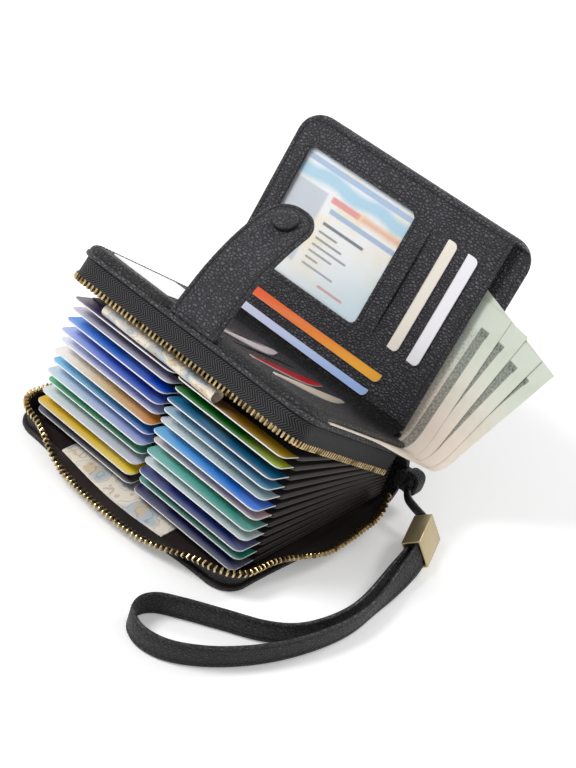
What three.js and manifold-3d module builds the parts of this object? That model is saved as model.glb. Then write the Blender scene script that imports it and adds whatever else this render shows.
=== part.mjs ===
// Wristlet card wallet, shown open: a zip-round card case with a fan of leaves that hold two columns
// of cards, a lid with card slots, a bifold flap with an ID window, a snap strap and a wrist strap.
// Millimetres, +Z up. The spine runs along X, the mouth of the case faces -Y, and the origin is the
// middle of the base panel's underside.

import * as THREE from 'three';
import { mergeVertices } from 'three/addons/utils/BufferGeometryUtils.js';
import Module from 'manifold-3d';

const wasm = await Module();
wasm.setup();

// Leather case
const CORNER_RADIUS = 11;        // mouth corners of the case panels
const PANEL_THICKNESS = 2.4;     // leather on board
const PANEL_EDGE_ROUND = 0.8;    // rolled edge of a leather panel
const BASE_BOW_FRONT = 4;        // how far the soft base's mouth edge swells
const BASE_BOW_RIGHT = 2;        // the same at its right side; the slider runs straight on the left
const SEAT_GAP = 0.3;            // clearance where two pieces meet
const JOIN_OVERLAP = 0.2;        // how far the parts of one piece run into each other
const CUT_PAST = 1;              // how far a cut runs past a face

// Fan of card leaves
const LEAF_COUNT = 12;
const LEAF_THICKNESS = 0.5;
const LEAF_SETBACK = 18;         // leaf front behind the mouth edge
const LEAF_CORNER = 6;
const LEAF_SEAT = 0.4;           // lowest leaf above the base panel
const LEAF_FOLD_SETBACK = 0.4;   // leaves' fold lines in front of the spine's foot
const LEAF_SPINE_GAP = 0.7;      // leaf's sewn edge to its fold line
const CARD_LENGTH = 85.6;
const CARD_WIDTH = 54;
const CARD_THICKNESS = 0.76;
const CARD_CORNER = 3.2;
const CARD_SETBACK = 5;          // card front behind the mouth edge when it is pulled out
const CARD_BACK_ROOM = 11.4;     // card back to the spine, for the folds of the leaves
const CARD_COLUMN_GAP = 2;       // between the two columns
const CARD_CLEARANCE = 0.25;     // card to leaf, above and below
const LEAF_SIDE_MARGIN = 0.3;    // leaf past the cards at each side

// Spine and folds
const SPINE_THICKNESS = 2;
const SPINE_SWELL = 4.6;         // how far the spine bows out at mid height
const LID_BEAD_RADIUS = 1.5;     // rolled edge that the lid folds on
const FLAP_BEAD_RADIUS = 1.2;    // rolled edge that the flap folds on
const FOLD_CLEARANCE = 0.35;     // panel end to the bead that it folds on
const LID_OPEN = 32;             // degrees, as shown
const FAN_SHARE = 0.694;         // top card row's turn, as a share of the lid's
const FLAP_OPEN = 79.5;          // degrees from the lid, as shown

// Zip
const ZIP_INSET = 2;             // tape's middle behind the panel's edge
const ZIP_LEAF_GAP = 0.55;       // slider to the leaves' side edges
const ZIP_BACK = 7;              // zip ends this far from the spine
const TAPE_THICKNESS = 1;
const TOOTH_PITCH = 2.5;
const TOOTH_LENGTH = 1.3;        // along the row
const TOOTH_THICKNESS = 2;       // across the tape
const TOOTH_BEAD = 0.9;          // clamped part of the row, next to the tape
const TOOTH_HEIGHT = 1.3;        // free part of a tooth
const ROW_GAP = 1.7;             // between the two rows when the case is shut
const TAPE_STEPS = 72;

// How far the unzipped lower tape leans out, in degrees, at shares of the way round the mouth
const TAPE_LEAN_ANGLES = [
  [0, 0], [0.22, 0], [0.33, 16], [0.44, 76], [0.56, 78], [0.68, 20], [0.73, 26], [0.85, 74], [0.93, 70],
  [1, 12],
];

// Zip slider and pull
const SLIDER_LENGTH = 10;
const SLIDER_WALL = 0.8;
const SLIDER_CLEARANCE = 0.35;   // slider to the teeth
const SLIDER_FROM_SPINE = 14;    // its back end, with the zip open
const SLIDER_CROWN_REACH = 3;    // the loop that carries the pull
const SLIDER_CROWN_BAR = 1.1;
const SLIDER_CROWN_HALF = 1.1;   // half the loop's height
const SLIDER_POST = 1;           // post between the two rows
const SLIDER_POST_LENGTH = 2.6;
const PULL_LENGTH = 24;
const PULL_WIDTH = 6;
const PULL_THICKNESS = 1.2;
const PULL_CLEARANCE = 0.4;

// Lid top: note pocket and slot panel
const NOTE_STACK = 0.5;          // notes in the lid's half of the note pocket
const SLOT_PANEL_THICKNESS = 1.8;
const SLOT_PANEL_MARGIN = 3;     // behind the lid's side edges
const SLOT_PANEL_BACK = 4.5;
const SLOT_PANEL_CORNER = 3;
const SLOT_WIDTH = 1;            // mouth of a card slot
const LID_SLOTS = [-18, -4, 8, 20, 32];   // places along the spine
const LID_SLOT_FROM = 26;
const LID_SLOT_LENGTH = 56;

// Flap, measured from its fold
const FLAP_FOLD_BACK = 2;        // flap's fold line behind the lid's fold line
const FLAP_FOLD_RISE = 0.7;      // flap's fold line above the slot panel
const FLAP_FOLD_INSET = 1;       // ends of the flap's rolled edge behind the lid's sides
const FLAP_RISER_FOOT = 1.8;     // strip of the lid that rises to the flap's fold
const FLAP_PANEL_LIFT = 0.4;     // inner panel above the fold line
const FLAP_LENGTH = 92.5;
const FLAP_CORNER = 10;
const FLAP_POCKET_OPEN = 9;      // the note pocket's open side, right of the inner panel
const FLAP_PANEL_THICKNESS = 1.5;
const FLAP_PANEL_MARGIN = 0.5;   // behind the cover's edge
const FLAP_COVER_THICKNESS = 2;
const FLAP_RIM = 2.4;            // sewn rim that joins the cover to the inner panel
const WINDOW_SIDE = 10;          // flap's left edge to the window
const WINDOW_WIDTH = 58;
const WINDOW_NEAR = 26;
const WINDOW_HEIGHT = 53;
const WINDOW_CORNER = 3;
const WINDOW_OVERLAP = 2.5;      // clear sheet past the opening
const WINDOW_SHEET = 0.4;
const ID_CARD_PAST = 4;          // ID card past the window's left edge
const FLAP_SLOTS = [9.5, 18, 28.5];       // slots beside the window, from its right edge
const FLAP_SLOT_FROM = 27;
const FLAP_SLOT_LENGTH = 50;
const FLAP_LOW_SLOTS = [16, 7.5];         // distances from the fold of the slots under the window
const FLAP_LOW_SLOT_SIDE = 4;             // inside the window's left edge
const FLAP_LOW_SLOT_LENGTH = 78;

// Fan of notes in the flap's half of the note pocket
const NOTE_WIDTH = 66;
const NOTE_REACH = 70;           // from the fold
const NOTE_SHEET = 0.28;
const NOTE_ANGLES = [3, 11, 19, 27];      // degrees that each note is turned out
const NOTE_PIVOT_SIDE = 20;      // point that the notes turn about, from the flap's right edge
const NOTE_RIGHT = 17;           // note's right edge from the pivot
const NOTE_FOLD_GAP = 3;         // notes in the flap stop this far from the fold
const LID_NOTE_PAST = 6;         // lid's notes past its right edge
const LID_NOTE_LENGTH = 74;

// Snap strap on the lid's front edge
const STRAP_WIDTH = 22.5;
const STRAP_TIP_WIDTH = 21;
const STRAP_THICKNESS = 2;
const STRAP_FROM_FRONT = 1.1;    // strap's middle behind the lid's front edge
const STRAP_RISE = 13;           // fixed foot, up to the line where the strap folds
const STRAP_LEAN = 84;           // degrees from the lid
const STRAP_LENGTH = 50;         // free tongue
const STRAP_TIP_LEAN = 44;       // degrees from the lid at the tip
const STRAP_TIP_FLAT = 3;        // flat at the end of the round tip
const STRAP_STEPS = 24;
const SNAP_FROM_TIP = 10.5;
const SNAP_CAP_RADIUS = 5;
const SNAP_CAP_HEIGHT = 2.6;
const SNAP_CAP_RIM = 0.6;
const SNAP_STEM_RADIUS = 1.3;
const SNAP_SOCKET_RADIUS = 4;
const SNAP_SOCKET_HEIGHT = 1.1;
const SNAP_CLEARANCE = 0.3;
const STUD_FROM_FOLD = 62.6;     // mating stud on the flap's cover
const STUD_RADIUS = 3.4;
const STUD_HEIGHT = 1;

// Wrist strap
const TAB_WIDTH = 6;             // leather loop at the spine's end
const TAB_LENGTH = 8;
const TAB_HEIGHT = 11;
const TAB_WALL = 2;
const TAB_CORNER = 2.4;
const TAB_HOLE_CORNER = 1.4;
const TAB_CENTRE_HEIGHT = 13;
const NECK_RADIUS = 1.4;
const BAND_WIDTH = 10;
const BAND_THICKNESS = 1.8;
const BAND_LEG_OFFSET = 1.85;    // each leg's middle from the sleeve's middle
const SLEEVE_LENGTH = 20;
const SLEEVE_WALL = 0.9;
const SLEEVE_END = 1.5;          // end wall that the neck passes through
const SLEEVE_CLEARANCE = 0.3;
const SLEEVE_ENTRY = 4;          // how far the strap goes into the sleeve
const SLEEVE_CORNER = 0.8;
const SLEEVE_TURN = -68.4;       // degrees from +X
const STRAP_LIFT = 0.3;          // sleeve and band above the surface that the wallet lies on
// Places from the middle of the tab's hole: the neck, the sleeve's start, and the band's middle line
const NECK_ROUTE = [[0, 1.4, 0], [0.1, -4, 0], [2.5, -7.2, -0.3], [7, -7.6, -1.6], [12.6, -7.2, -4.2]];
const SLEEVE_PLACE = [18.1, -10.7];
const BAND_ROUTE = [
  [32.5, -58.6], [34.3, -80.6], [30.3, -103.6], [22.5, -123.6], [12.2, -139.2], [1.7, -148.2],
  [-7.8, -150.2], [-15.1, -146.8], [-17.5, -140.6], [-15.5, -134.6], [-7.9, -128], [4.7, -119.2],
  [17.7, -110], [25.3, -100.1], [30.1, -80.2], [28.6, -59.2],
];
const BAND_STEPS = 60;

// Colours
const LEATHER = '#1b1a1b';
const LEATHER_LINING = '#2a211f';
const TAPE = '#141314';
const BRASS = '#9a7d4e';
const LEFT_CARD_COLOURS = [
  '#1b2440', '#d9b13a', '#cfd6cf', '#1f8f5a', '#8fa7b0', '#2f8fd0', '#d9a05a', '#cfcfe0', '#4f66b8',
  '#2f63c8', '#c9cbe0', '#2b2350',
];
const RIGHT_CARD_COLOURS = [
  '#1d2a55', '#2f8a80', '#243a7a', '#d5dcda', '#3f9c94', '#d8bfb0', '#2f8ad8', '#cfd8da', '#5fb4cc',
  '#1f6f94', '#2f9a4c', '#b98a2c',
];
// How far each card is pushed back from the front of its row
const LEFT_CARD_PUSH = [2, 0.5, 1.5, 3, 0.8, 2.2, 1, 2.6, 0.6, 1.6, 2.4, 1.2];
const RIGHT_CARD_PUSH = [1.4, 2.6, 0.8, 2, 1.2, 3, 0.6, 2.2, 1.6, 0.8, 2.8, 1.8];

// Sizes that follow from the cards and the zip
const LEAF_HALF = CARD_WIDTH + CARD_COLUMN_GAP / 2 + LEAF_SIDE_MARGIN;
const LEAF_PITCH = LEAF_THICKNESS + CARD_THICKNESS + 2 * CARD_CLEARANCE;
const SLIDER_INNER = TOOTH_THICKNESS / 2 + SLIDER_CLEARANCE;
const SLIDER_OUTER = SLIDER_INNER + SLIDER_WALL;
const WIDTH = 2 * (LEAF_HALF + ZIP_LEAF_GAP + SLIDER_OUTER + ZIP_INSET);   // along the spine
const DEPTH = CARD_SETBACK + CARD_LENGTH + CARD_BACK_ROOM;                 // spine to mouth
const FLAP_PANEL_RIGHT = WIDTH / 2 - FLAP_POCKET_OPEN;
const WINDOW_LEFT = -WIDTH / 2 + WINDOW_SIDE;
const WINDOW_RIGHT = WINDOW_LEFT + WINDOW_WIDTH;
const WINDOW_FAR = WINDOW_NEAR + WINDOW_HEIGHT;

const radians = THREE.MathUtils.degToRad;

function material(colour, roughness, metalness = 0) {
  return new THREE.MeshStandardMaterial({ color: colour, roughness, metalness });
}

function piece(name, geometry, colour, roughness = 0.6, metalness = 0) {
  const mesh = new THREE.Mesh(geometry, material(colour, roughness, metalness));
  mesh.name = name;
  return mesh;
}

// Closed geometry from corner points and triangles, turned to face out
function solidFrom(points, triangles) {
  const geometry = new THREE.BufferGeometry();
  geometry.setAttribute('position', new THREE.Float32BufferAttribute(points.flat(), 3));
  let volume = 0;
  for (const [a, b, c] of triangles) {
    const u = new THREE.Vector3(...points[a]);
    const v = new THREE.Vector3(...points[b]);
    const w = new THREE.Vector3(...points[c]);
    volume += u.dot(v.cross(w));
  }
  const facing = volume > 0 ? triangles : triangles.map(([a, b, c]) => [a, c, b]);
  geometry.setIndex(facing.flat());
  return geometry;
}

// Solid through a run of sections that have the same number of corners, closed by flat ends
function loft(sections) {
  const count = sections[0].length;
  const points = sections.flat();
  const triangles = [];
  for (let i = 0; i + 1 < sections.length; i += 1) {
    for (let j = 0; j < count; j += 1) {
      const k = (j + 1) % count;
      const a = i * count + j;
      const b = i * count + k;
      const c = (i + 1) * count + j;
      const d = (i + 1) * count + k;
      triangles.push([a, b, d], [a, d, c]);
    }
  }
  const last = (sections.length - 1) * count;
  for (let j = 1; j + 1 < count; j += 1) {
    triangles.push([0, j + 1, j], [last, last + j, last + j + 1]);
  }
  return solidFrom(points, triangles);
}

function toManifold(geometry) {
  let bare = geometry.clone();
  for (const name of Object.keys(bare.attributes)) {
    if (name !== 'position') bare.deleteAttribute(name);
  }
  bare = mergeVertices(bare, 1e-4);
  return new wasm.Manifold(new wasm.Mesh({
    numProp: 3,
    vertProperties: new Float32Array(bare.attributes.position.array),
    triVerts: new Uint32Array(bare.index.array),
  }));
}

function fromManifold(solid) {
  const mesh = solid.getMesh();
  const geometry = new THREE.BufferGeometry();
  geometry.setAttribute('position', new THREE.BufferAttribute(new Float32Array(mesh.vertProperties), 3));
  geometry.setIndex(new THREE.BufferAttribute(new Uint32Array(mesh.triVerts), 1));
  return geometry;
}

function join(first, ...others) {
  return fromManifold(others.reduce((all, next) => all.add(toManifold(next)), toManifold(first)));
}

function cut(first, ...others) {
  return fromManifold(others.reduce((all, next) => all.subtract(toManifold(next)), toManifold(first)));
}

function clip(first, other) {
  return fromManifold(toManifold(first).intersect(toManifold(other)));
}

function box(x0, x1, y0, y1, z0, z1) {
  const geometry = new THREE.BoxGeometry(x1 - x0, y1 - y0, z1 - z0);
  return geometry.translate((x0 + x1) / 2, (y0 + y1) / 2, (z0 + z1) / 2);
}

// Round bar along X
function bar(y, z, radius, length) {
  return new THREE.CylinderGeometry(radius, radius, length, 16).rotateZ(Math.PI / 2).translate(0, y, z);
}

// Plate of a given outline, from z up, with square or rolled edges
function plate(outline, z, thickness, round = 0, arcSteps = 4) {
  const geometry = new THREE.ExtrudeGeometry(outline, {
    depth: thickness - 2 * round,
    bevelEnabled: round > 0,
    bevelThickness: round,
    bevelSize: round,
    bevelOffset: -round,
    bevelSegments: 2,
    curveSegments: arcSteps,
  });
  return geometry.translate(0, 0, z + round);
}

// Prism along X of an outline drawn in the Y-Z plane
function prismAlongX(outline, length) {
  const geometry = new THREE.ExtrudeGeometry(
    outline, { depth: length, bevelEnabled: false, curveSegments: 14 });
  const turn = new THREE.Matrix4().makeBasis(
    new THREE.Vector3(0, 1, 0), new THREE.Vector3(0, 0, 1), new THREE.Vector3(1, 0, 0));
  return geometry.applyMatrix4(turn).translate(-length / 2, 0, 0);
}

// Rectangle with its own radius at the far (low Y) and near (high Y) corners
function roundedRectangle(x0, x1, y0, y1, farRadius, nearRadius = 0) {
  const outline = new THREE.Shape();
  outline.moveTo(x0 + farRadius, y0);
  outline.lineTo(x1 - farRadius, y0);
  if (farRadius > 0) outline.absarc(x1 - farRadius, y0 + farRadius, farRadius, -Math.PI / 2, 0);
  outline.lineTo(x1, y1 - nearRadius);
  if (nearRadius > 0) outline.absarc(x1 - nearRadius, y1 - nearRadius, nearRadius, 0, Math.PI / 2);
  outline.lineTo(x0 + nearRadius, y1);
  if (nearRadius > 0) outline.absarc(x0 + nearRadius, y1 - nearRadius, nearRadius, Math.PI / 2, Math.PI);
  outline.lineTo(x0, y0 + farRadius);
  if (farRadius > 0) outline.absarc(x0 + farRadius, y0 + farRadius, farRadius, Math.PI, 1.5 * Math.PI);
  return outline;
}

// Edge of a case panel, from the spine round the left side, the mouth and the right side
const SIDE_RUN = DEPTH - CORNER_RADIUS;
const ARC_RUN = Math.PI / 2 * CORNER_RADIUS;
const FRONT_RUN = WIDTH - 2 * CORNER_RADIUS;
const EDGE_RUN = 2 * SIDE_RUN + 2 * ARC_RUN + FRONT_RUN;
const swell = (run, length) => Math.sin(Math.PI * run / length) ** 2;

function edgeAt(share, bowFront = 0, bowRight = 0) {
  const half = WIDTH / 2;
  const inner = half - CORNER_RADIUS;
  let run = share * EDGE_RUN;
  if (run <= SIDE_RUN) {
    return { x: -half, y: -run, nx: -1, ny: 0 };
  }
  run -= SIDE_RUN;
  if (run <= ARC_RUN) {
    const turn = run / CORNER_RADIUS;
    const nx = -Math.cos(turn);
    const ny = -Math.sin(turn);
    return { x: -inner + CORNER_RADIUS * nx, y: -SIDE_RUN + CORNER_RADIUS * ny, nx, ny };
  }
  run -= ARC_RUN;
  if (run <= FRONT_RUN) {
    return { x: -inner + run, y: -DEPTH - bowFront * swell(run, FRONT_RUN), nx: 0, ny: -1 };
  }
  run -= FRONT_RUN;
  if (run <= ARC_RUN) {
    const turn = run / CORNER_RADIUS;
    const nx = Math.sin(turn);
    const ny = -Math.cos(turn);
    return { x: inner + CORNER_RADIUS * nx, y: -SIDE_RUN + CORNER_RADIUS * ny, nx, ny };
  }
  run -= ARC_RUN;
  return { x: half + bowRight * swell(run, SIDE_RUN), y: run - SIDE_RUN, nx: 1, ny: 0 };
}

// Outline of a case panel whose back edge lies at backY
function panelOutline(backY, bowFront, bowRight) {
  const runs = [[SIDE_RUN, 8], [ARC_RUN, 6], [FRONT_RUN, 12], [ARC_RUN, 6], [SIDE_RUN, 8]];
  const points = [];
  let start = 0;
  for (const [run, steps] of runs) {
    for (let i = 1; i <= steps; i += 1) {
      const edge = edgeAt(Math.min(1, (start + run * i / steps) / EDGE_RUN), bowFront, bowRight);
      if (edge.y < backY - 1) points.push(new THREE.Vector2(edge.x, edge.y));
    }
    start += run;
  }
  points.unshift(new THREE.Vector2(-WIDTH / 2, backY));
  points.push(new THREE.Vector2(WIDTH / 2, backY));
  return new THREE.Shape(points);
}

// Heights of the shut case
const LEAF_START = PANEL_THICKNESS + LEAF_SEAT;
const LEAF_STACK = (LEAF_COUNT - 1) * LEAF_PITCH + LEAF_THICKNESS + CARD_CLEARANCE + CARD_THICKNESS;
const LID_FOLD_Z = LEAF_START + LEAF_STACK + SEAT_GAP + PANEL_THICKNESS / 2;
const LID_UNDERSIDE = LID_FOLD_Z - PANEL_THICKNESS / 2;
const MOUTH_HEIGHT = LID_UNDERSIDE - PANEL_THICKNESS;
const TAPE_HEIGHT = (MOUTH_HEIGHT - ROW_GAP) / 2 - 2 * SEAT_GAP - TOOTH_BEAD - TOOTH_HEIGHT;

// Spine: a bowed strip from the base panel's back edge to the rolled edge that the lid folds on
const SPINE_LOW = PANEL_THICKNESS / 2;
const SPINE_HALF = (LID_FOLD_Z - SPINE_LOW) / 2;
const SPINE_MID = (LID_FOLD_Z + SPINE_LOW) / 2;
const SPINE_RADIUS = (SPINE_HALF ** 2 + SPINE_SWELL ** 2) / (2 * SPINE_SWELL);
const SPINE_CENTRE = SPINE_SWELL - SPINE_RADIUS;
const spineAt = (z, radius) => SPINE_CENTRE + Math.sqrt(radius ** 2 - (z - SPINE_MID) ** 2);

function spineCover() {
  const reach = Math.asin(SPINE_HALF / SPINE_RADIUS);
  const strip = new THREE.Shape();
  strip.absarc(SPINE_CENTRE, SPINE_MID, SPINE_RADIUS + SPINE_THICKNESS / 2, -reach, reach);
  strip.absarc(SPINE_CENTRE, SPINE_MID, SPINE_RADIUS - SPINE_THICKNESS / 2, reach, -reach, true);
  strip.closePath();
  return join(prismAlongX(strip, WIDTH), bar(0, LID_FOLD_Z, LID_BEAD_RADIUS, WIDTH));
}

// Smooth value between the points of a list of [place, value]
function blendAlong(list, place) {
  let i = 0;
  while (i + 2 < list.length && place > list[i + 1][0]) i += 1;
  const [p, a] = list[i];
  const [q, b] = list[i + 1];
  const t = THREE.MathUtils.smoothstep(place, p, q);
  return a + (b - a) * t;
}

// Frame of a zip tape at a share of the way round: foot point, direction away from the panel, outer side
function tapeFrame(share, lower) {
  const edge = lower ? edgeAt(share, BASE_BOW_FRONT, BASE_BOW_RIGHT) : edgeAt(share);
  const lean = lower ? radians(blendAlong(TAPE_LEAN_ANGLES, share)) : 0;
  const away = lower ? 1 : -1;
  const out = new THREE.Vector3(edge.nx, edge.ny, 0);
  const up = new THREE.Vector3(0, 0, away);
  const rise = up.clone().multiplyScalar(Math.cos(lean)).addScaledVector(out, Math.sin(lean));
  const side = out.clone().multiplyScalar(Math.cos(lean)).addScaledVector(up, -Math.sin(lean));
  const level = lower ? PANEL_THICKNESS : -PANEL_THICKNESS / 2;
  const foot = new THREE.Vector3(edge.x - edge.nx * ZIP_INSET, edge.y - edge.ny * ZIP_INSET, level);
  foot.addScaledVector(up, SEAT_GAP + TAPE_THICKNESS / 2 * Math.sin(lean));
  return { foot, rise, side };
}

function tapePoint(frame, height, across) {
  return frame.foot.clone().addScaledVector(frame.rise, height).addScaledVector(frame.side, across).toArray();
}

const ZIP_FROM = ZIP_BACK / EDGE_RUN;
const ZIP_SHARE = 1 - 2 * ZIP_FROM;

function zipTape(lower) {
  const sections = [];
  for (let i = 0; i <= TAPE_STEPS; i += 1) {
    const frame = tapeFrame(ZIP_FROM + ZIP_SHARE * i / TAPE_STEPS, lower);
    const half = TAPE_THICKNESS / 2;
    sections.push([
      tapePoint(frame, 0, -half), tapePoint(frame, 0, half),
      tapePoint(frame, TAPE_HEIGHT, half), tapePoint(frame, TAPE_HEIGHT, -half),
    ]);
  }
  return loft(sections);
}

// Row of teeth on one clamped bead: each pitch has a tooth and a gap
function zipTeeth(lower) {
  const count = Math.round(EDGE_RUN * ZIP_SHARE / TOOTH_PITCH);
  const low = TAPE_HEIGHT + SEAT_GAP;
  const middle = low + TOOTH_BEAD;
  const high = middle + TOOTH_HEIGHT;
  const half = TOOTH_THICKNESS / 2;
  const points = [];
  const triangles = [];
  const stations = [];
  const addStation = (share) => {
    const frame = tapeFrame(share, lower);
    const start = points.length;
    for (const height of [low, middle, high]) {
      points.push(tapePoint(frame, height, -half), tapePoint(frame, height, half));
    }
    stations.push(start);
  };
  const step = ZIP_SHARE / count;
  const toothShare = step * TOOTH_LENGTH / TOOTH_PITCH;
  for (let i = 0; i < count; i += 1) {
    addStation(ZIP_FROM + step * i);
    addStation(ZIP_FROM + step * i + toothShare);
  }
  const quad = (a, b, c, d) => triangles.push([a, b, c], [a, c, d]);
  for (let i = 0; i + 1 < stations.length; i += 1) {
    const a = stations[i];
    const b = stations[i + 1];
    const tooth = i % 2 === 0;
    quad(a, b, b + 2, a + 2);
    quad(b + 1, a + 1, a + 3, b + 3);
    quad(a + 1, b + 1, b, a);
    if (tooth) {
      quad(a + 2, b + 2, b + 4, a + 4);
      quad(b + 3, a + 3, a + 5, b + 5);
      quad(a + 4, b + 4, b + 5, a + 5);
      quad(a + 3, a + 2, a + 4, a + 5);
      quad(b + 2, b + 3, b + 5, b + 4);
    } else {
      quad(a + 2, b + 2, b + 3, a + 3);
    }
  }
  const first = stations[0];
  const last = stations[stations.length - 1];
  quad(first + 1, first, first + 2, first + 3);
  quad(last, last + 1, last + 3, last + 2);
  const used = new Map();
  const kept = [];
  const renumbered = triangles.map((triangle) => triangle.map((index) => {
    if (!used.has(index)) {
      used.set(index, kept.length);
      kept.push(points[index]);
    }
    return used.get(index);
  }));
  return solidFrom(kept, renumbered);
}

// Slider: two plates either side of the rows, a post between the rows, lips under the lower row and
// a loop for the pull. Its length lies along Y, with its outer plate on the left.
const TEETH_FOOT = PANEL_THICKNESS + SEAT_GAP + TAPE_HEIGHT + SEAT_GAP;
const TEETH_TOP = TEETH_FOOT + TOOTH_BEAD + TOOTH_HEIGHT;
const SLIDER_LOW = TEETH_FOOT - SLIDER_CLEARANCE - SLIDER_WALL;
const SLIDER_HIGH = TEETH_TOP + ROW_GAP + TOOTH_HEIGHT + TOOTH_BEAD;
const SLIDER_X = -WIDTH / 2 + ZIP_INSET;
const SLIDER_Y = -SLIDER_FROM_SPINE - SLIDER_LENGTH / 2;
const SLIDER_MID = (SLIDER_LOW + SLIDER_HIGH) / 2;

function zipSlider() {
  const half = SLIDER_LENGTH / 2;
  const lip = TAPE_THICKNESS / 2 + SLIDER_CLEARANCE;
  const postLow = TEETH_TOP + (ROW_GAP - SLIDER_POST) / 2;
  const reach = SLIDER_INNER + JOIN_OVERLAP;
  const crownIn = -SLIDER_OUTER + JOIN_OVERLAP;
  const crownOut = -SLIDER_OUTER - SLIDER_CROWN_REACH;
  const crownHalf = PULL_THICKNESS / 2 + PULL_CLEARANCE + SLIDER_CROWN_BAR;
  const open = crownHalf - SLIDER_CROWN_BAR;
  const tall = SLIDER_CROWN_HALF;
  const past = tall + CUT_PAST;
  const loop = cut(
    box(crownOut, crownIn, -crownHalf, crownHalf, SLIDER_MID - tall, SLIDER_MID + tall),
    box(crownOut + SLIDER_CROWN_BAR, -SLIDER_OUTER, -open, open, SLIDER_MID - past, SLIDER_MID + past));
  const body = join(
    box(-SLIDER_OUTER, -SLIDER_INNER, -half, half, SLIDER_LOW, SLIDER_HIGH),
    box(SLIDER_INNER, SLIDER_OUTER, -half, half, SLIDER_LOW, SLIDER_HIGH),
    box(-reach, reach, -half, -half + SLIDER_POST_LENGTH, postLow, postLow + SLIDER_POST),
    box(-reach, -lip, -half, half, SLIDER_LOW, SLIDER_LOW + SLIDER_WALL),
    box(lip, reach, -half, half, SLIDER_LOW, SLIDER_LOW + SLIDER_WALL),
    loop);
  return body.translate(SLIDER_X, SLIDER_Y, 0);
}

// Pull: a tab whose top bar passes through the slider's loop; it lies forward along the zip
const PULL_AXIS_X = SLIDER_X - SLIDER_OUTER - (SLIDER_CROWN_REACH - SLIDER_CROWN_BAR) / 2;

function zipPull() {
  const window = SLIDER_CROWN_HALF + PULL_CLEARANCE;
  const slot = PULL_THICKNESS / 2 + 2 * PULL_CLEARANCE + SLIDER_CROWN_BAR;
  const outline = new THREE.Shape();
  const half = PULL_WIDTH / 2;
  const top = PULL_THICKNESS / 2;
  outline.moveTo(-half, top);
  outline.lineTo(-half, -PULL_LENGTH + half);
  outline.absarc(0, -PULL_LENGTH + half, half, Math.PI, 2 * Math.PI);
  outline.lineTo(half, top);
  outline.closePath();
  const hole = new THREE.Path();
  hole.moveTo(-window, -top);
  hole.lineTo(window, -top);
  hole.lineTo(window, -top - slot);
  hole.lineTo(-window, -top - slot);
  hole.closePath();
  outline.holes.push(hole);
  const tab = plate(outline, -PULL_THICKNESS / 2, PULL_THICKNESS);
  return tab.rotateY(Math.PI / 2).translate(PULL_AXIS_X, SLIDER_Y, SLIDER_MID);
}

// Leaf and card rows; each row folds about its own line at the spine
const rowZ = (row) => LEAF_START + row * LEAF_PITCH;
const rowY = -LEAF_FOLD_SETBACK;

function leaf() {
  const front = -DEPTH + LEAF_SETBACK - rowY;
  const outline = roundedRectangle(-LEAF_HALF, LEAF_HALF, front, -LEAF_SPINE_GAP, LEAF_CORNER);
  return plate(outline, 0, LEAF_THICKNESS, 0, 2);
}

function card(row, column) {
  const pushes = column < 0 ? LEFT_CARD_PUSH : RIGHT_CARD_PUSH;
  const push = pushes[row % pushes.length];
  const near = CARD_COLUMN_GAP / 2;
  const x0 = column < 0 ? -near - CARD_WIDTH : near;
  const y0 = -DEPTH + CARD_SETBACK + push - rowY;
  const outline = roundedRectangle(x0, x0 + CARD_WIDTH, y0, y0 + CARD_LENGTH, CARD_CORNER, CARD_CORNER);
  return plate(outline, LEAF_THICKNESS + CARD_CLEARANCE, CARD_THICKNESS, 0, 2);
}

// Lid, drawn shut, from its fold line: X, -Y to the front, Z up
const LID_TOP = PANEL_THICKNESS / 2;
const NOTE_LEVEL = LID_TOP + SEAT_GAP;
const SLOT_LEVEL = NOTE_LEVEL + NOTE_STACK + SEAT_GAP;
const FLAP_FOLD_Z = SLOT_LEVEL + SLOT_PANEL_THICKNESS + FLAP_FOLD_RISE;
const LID_BACK = LID_BEAD_RADIUS + FOLD_CLEARANCE;

function lidPanel() {
  const outline = panelOutline(-LID_BACK, 0, 0);
  const riser = new THREE.Shape();
  const foot = LID_TOP - JOIN_OVERLAP;
  const slant = FLAP_BEAD_RADIUS * Math.SQRT1_2;
  riser.moveTo(-LID_BACK - FLAP_RISER_FOOT, foot);
  riser.lineTo(-LID_BACK, foot);
  riser.lineTo(FLAP_FOLD_BACK + slant, FLAP_FOLD_Z - slant);
  riser.lineTo(FLAP_FOLD_BACK - slant, FLAP_FOLD_Z + slant);
  riser.closePath();
  const length = WIDTH - 2 * FLAP_FOLD_INSET;
  return join(
    plate(outline, -LID_TOP, PANEL_THICKNESS, PANEL_EDGE_ROUND),
    prismAlongX(riser, length),
    bar(FLAP_FOLD_BACK, FLAP_FOLD_Z, FLAP_BEAD_RADIUS, length));
}

function lidSlotPanel() {
  const half = WIDTH / 2 - SLOT_PANEL_MARGIN;
  const front = -DEPTH + STRAP_FROM_FRONT + STRAP_THICKNESS / 2 + 2 * SEAT_GAP;
  const outline = roundedRectangle(
    -half, half, front, -SLOT_PANEL_BACK, CORNER_RADIUS - SLOT_PANEL_MARGIN, SLOT_PANEL_CORNER);
  const slots = LID_SLOTS.map((x) => box(
    x, x + SLOT_WIDTH, -LID_SLOT_FROM - LID_SLOT_LENGTH, -LID_SLOT_FROM,
    SLOT_LEVEL - CUT_PAST, SLOT_LEVEL + SLOT_PANEL_THICKNESS + CUT_PAST));
  return cut(plate(outline, SLOT_LEVEL, SLOT_PANEL_THICKNESS), ...slots);
}

function lidNotes() {
  const back = -SLOT_PANEL_BACK;
  const right = WIDTH / 2 + LID_NOTE_PAST;
  return plate(
    roundedRectangle(right - NOTE_WIDTH, right, back - LID_NOTE_LENGTH, back, 0),
    NOTE_LEVEL, NOTE_STACK);
}

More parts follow.
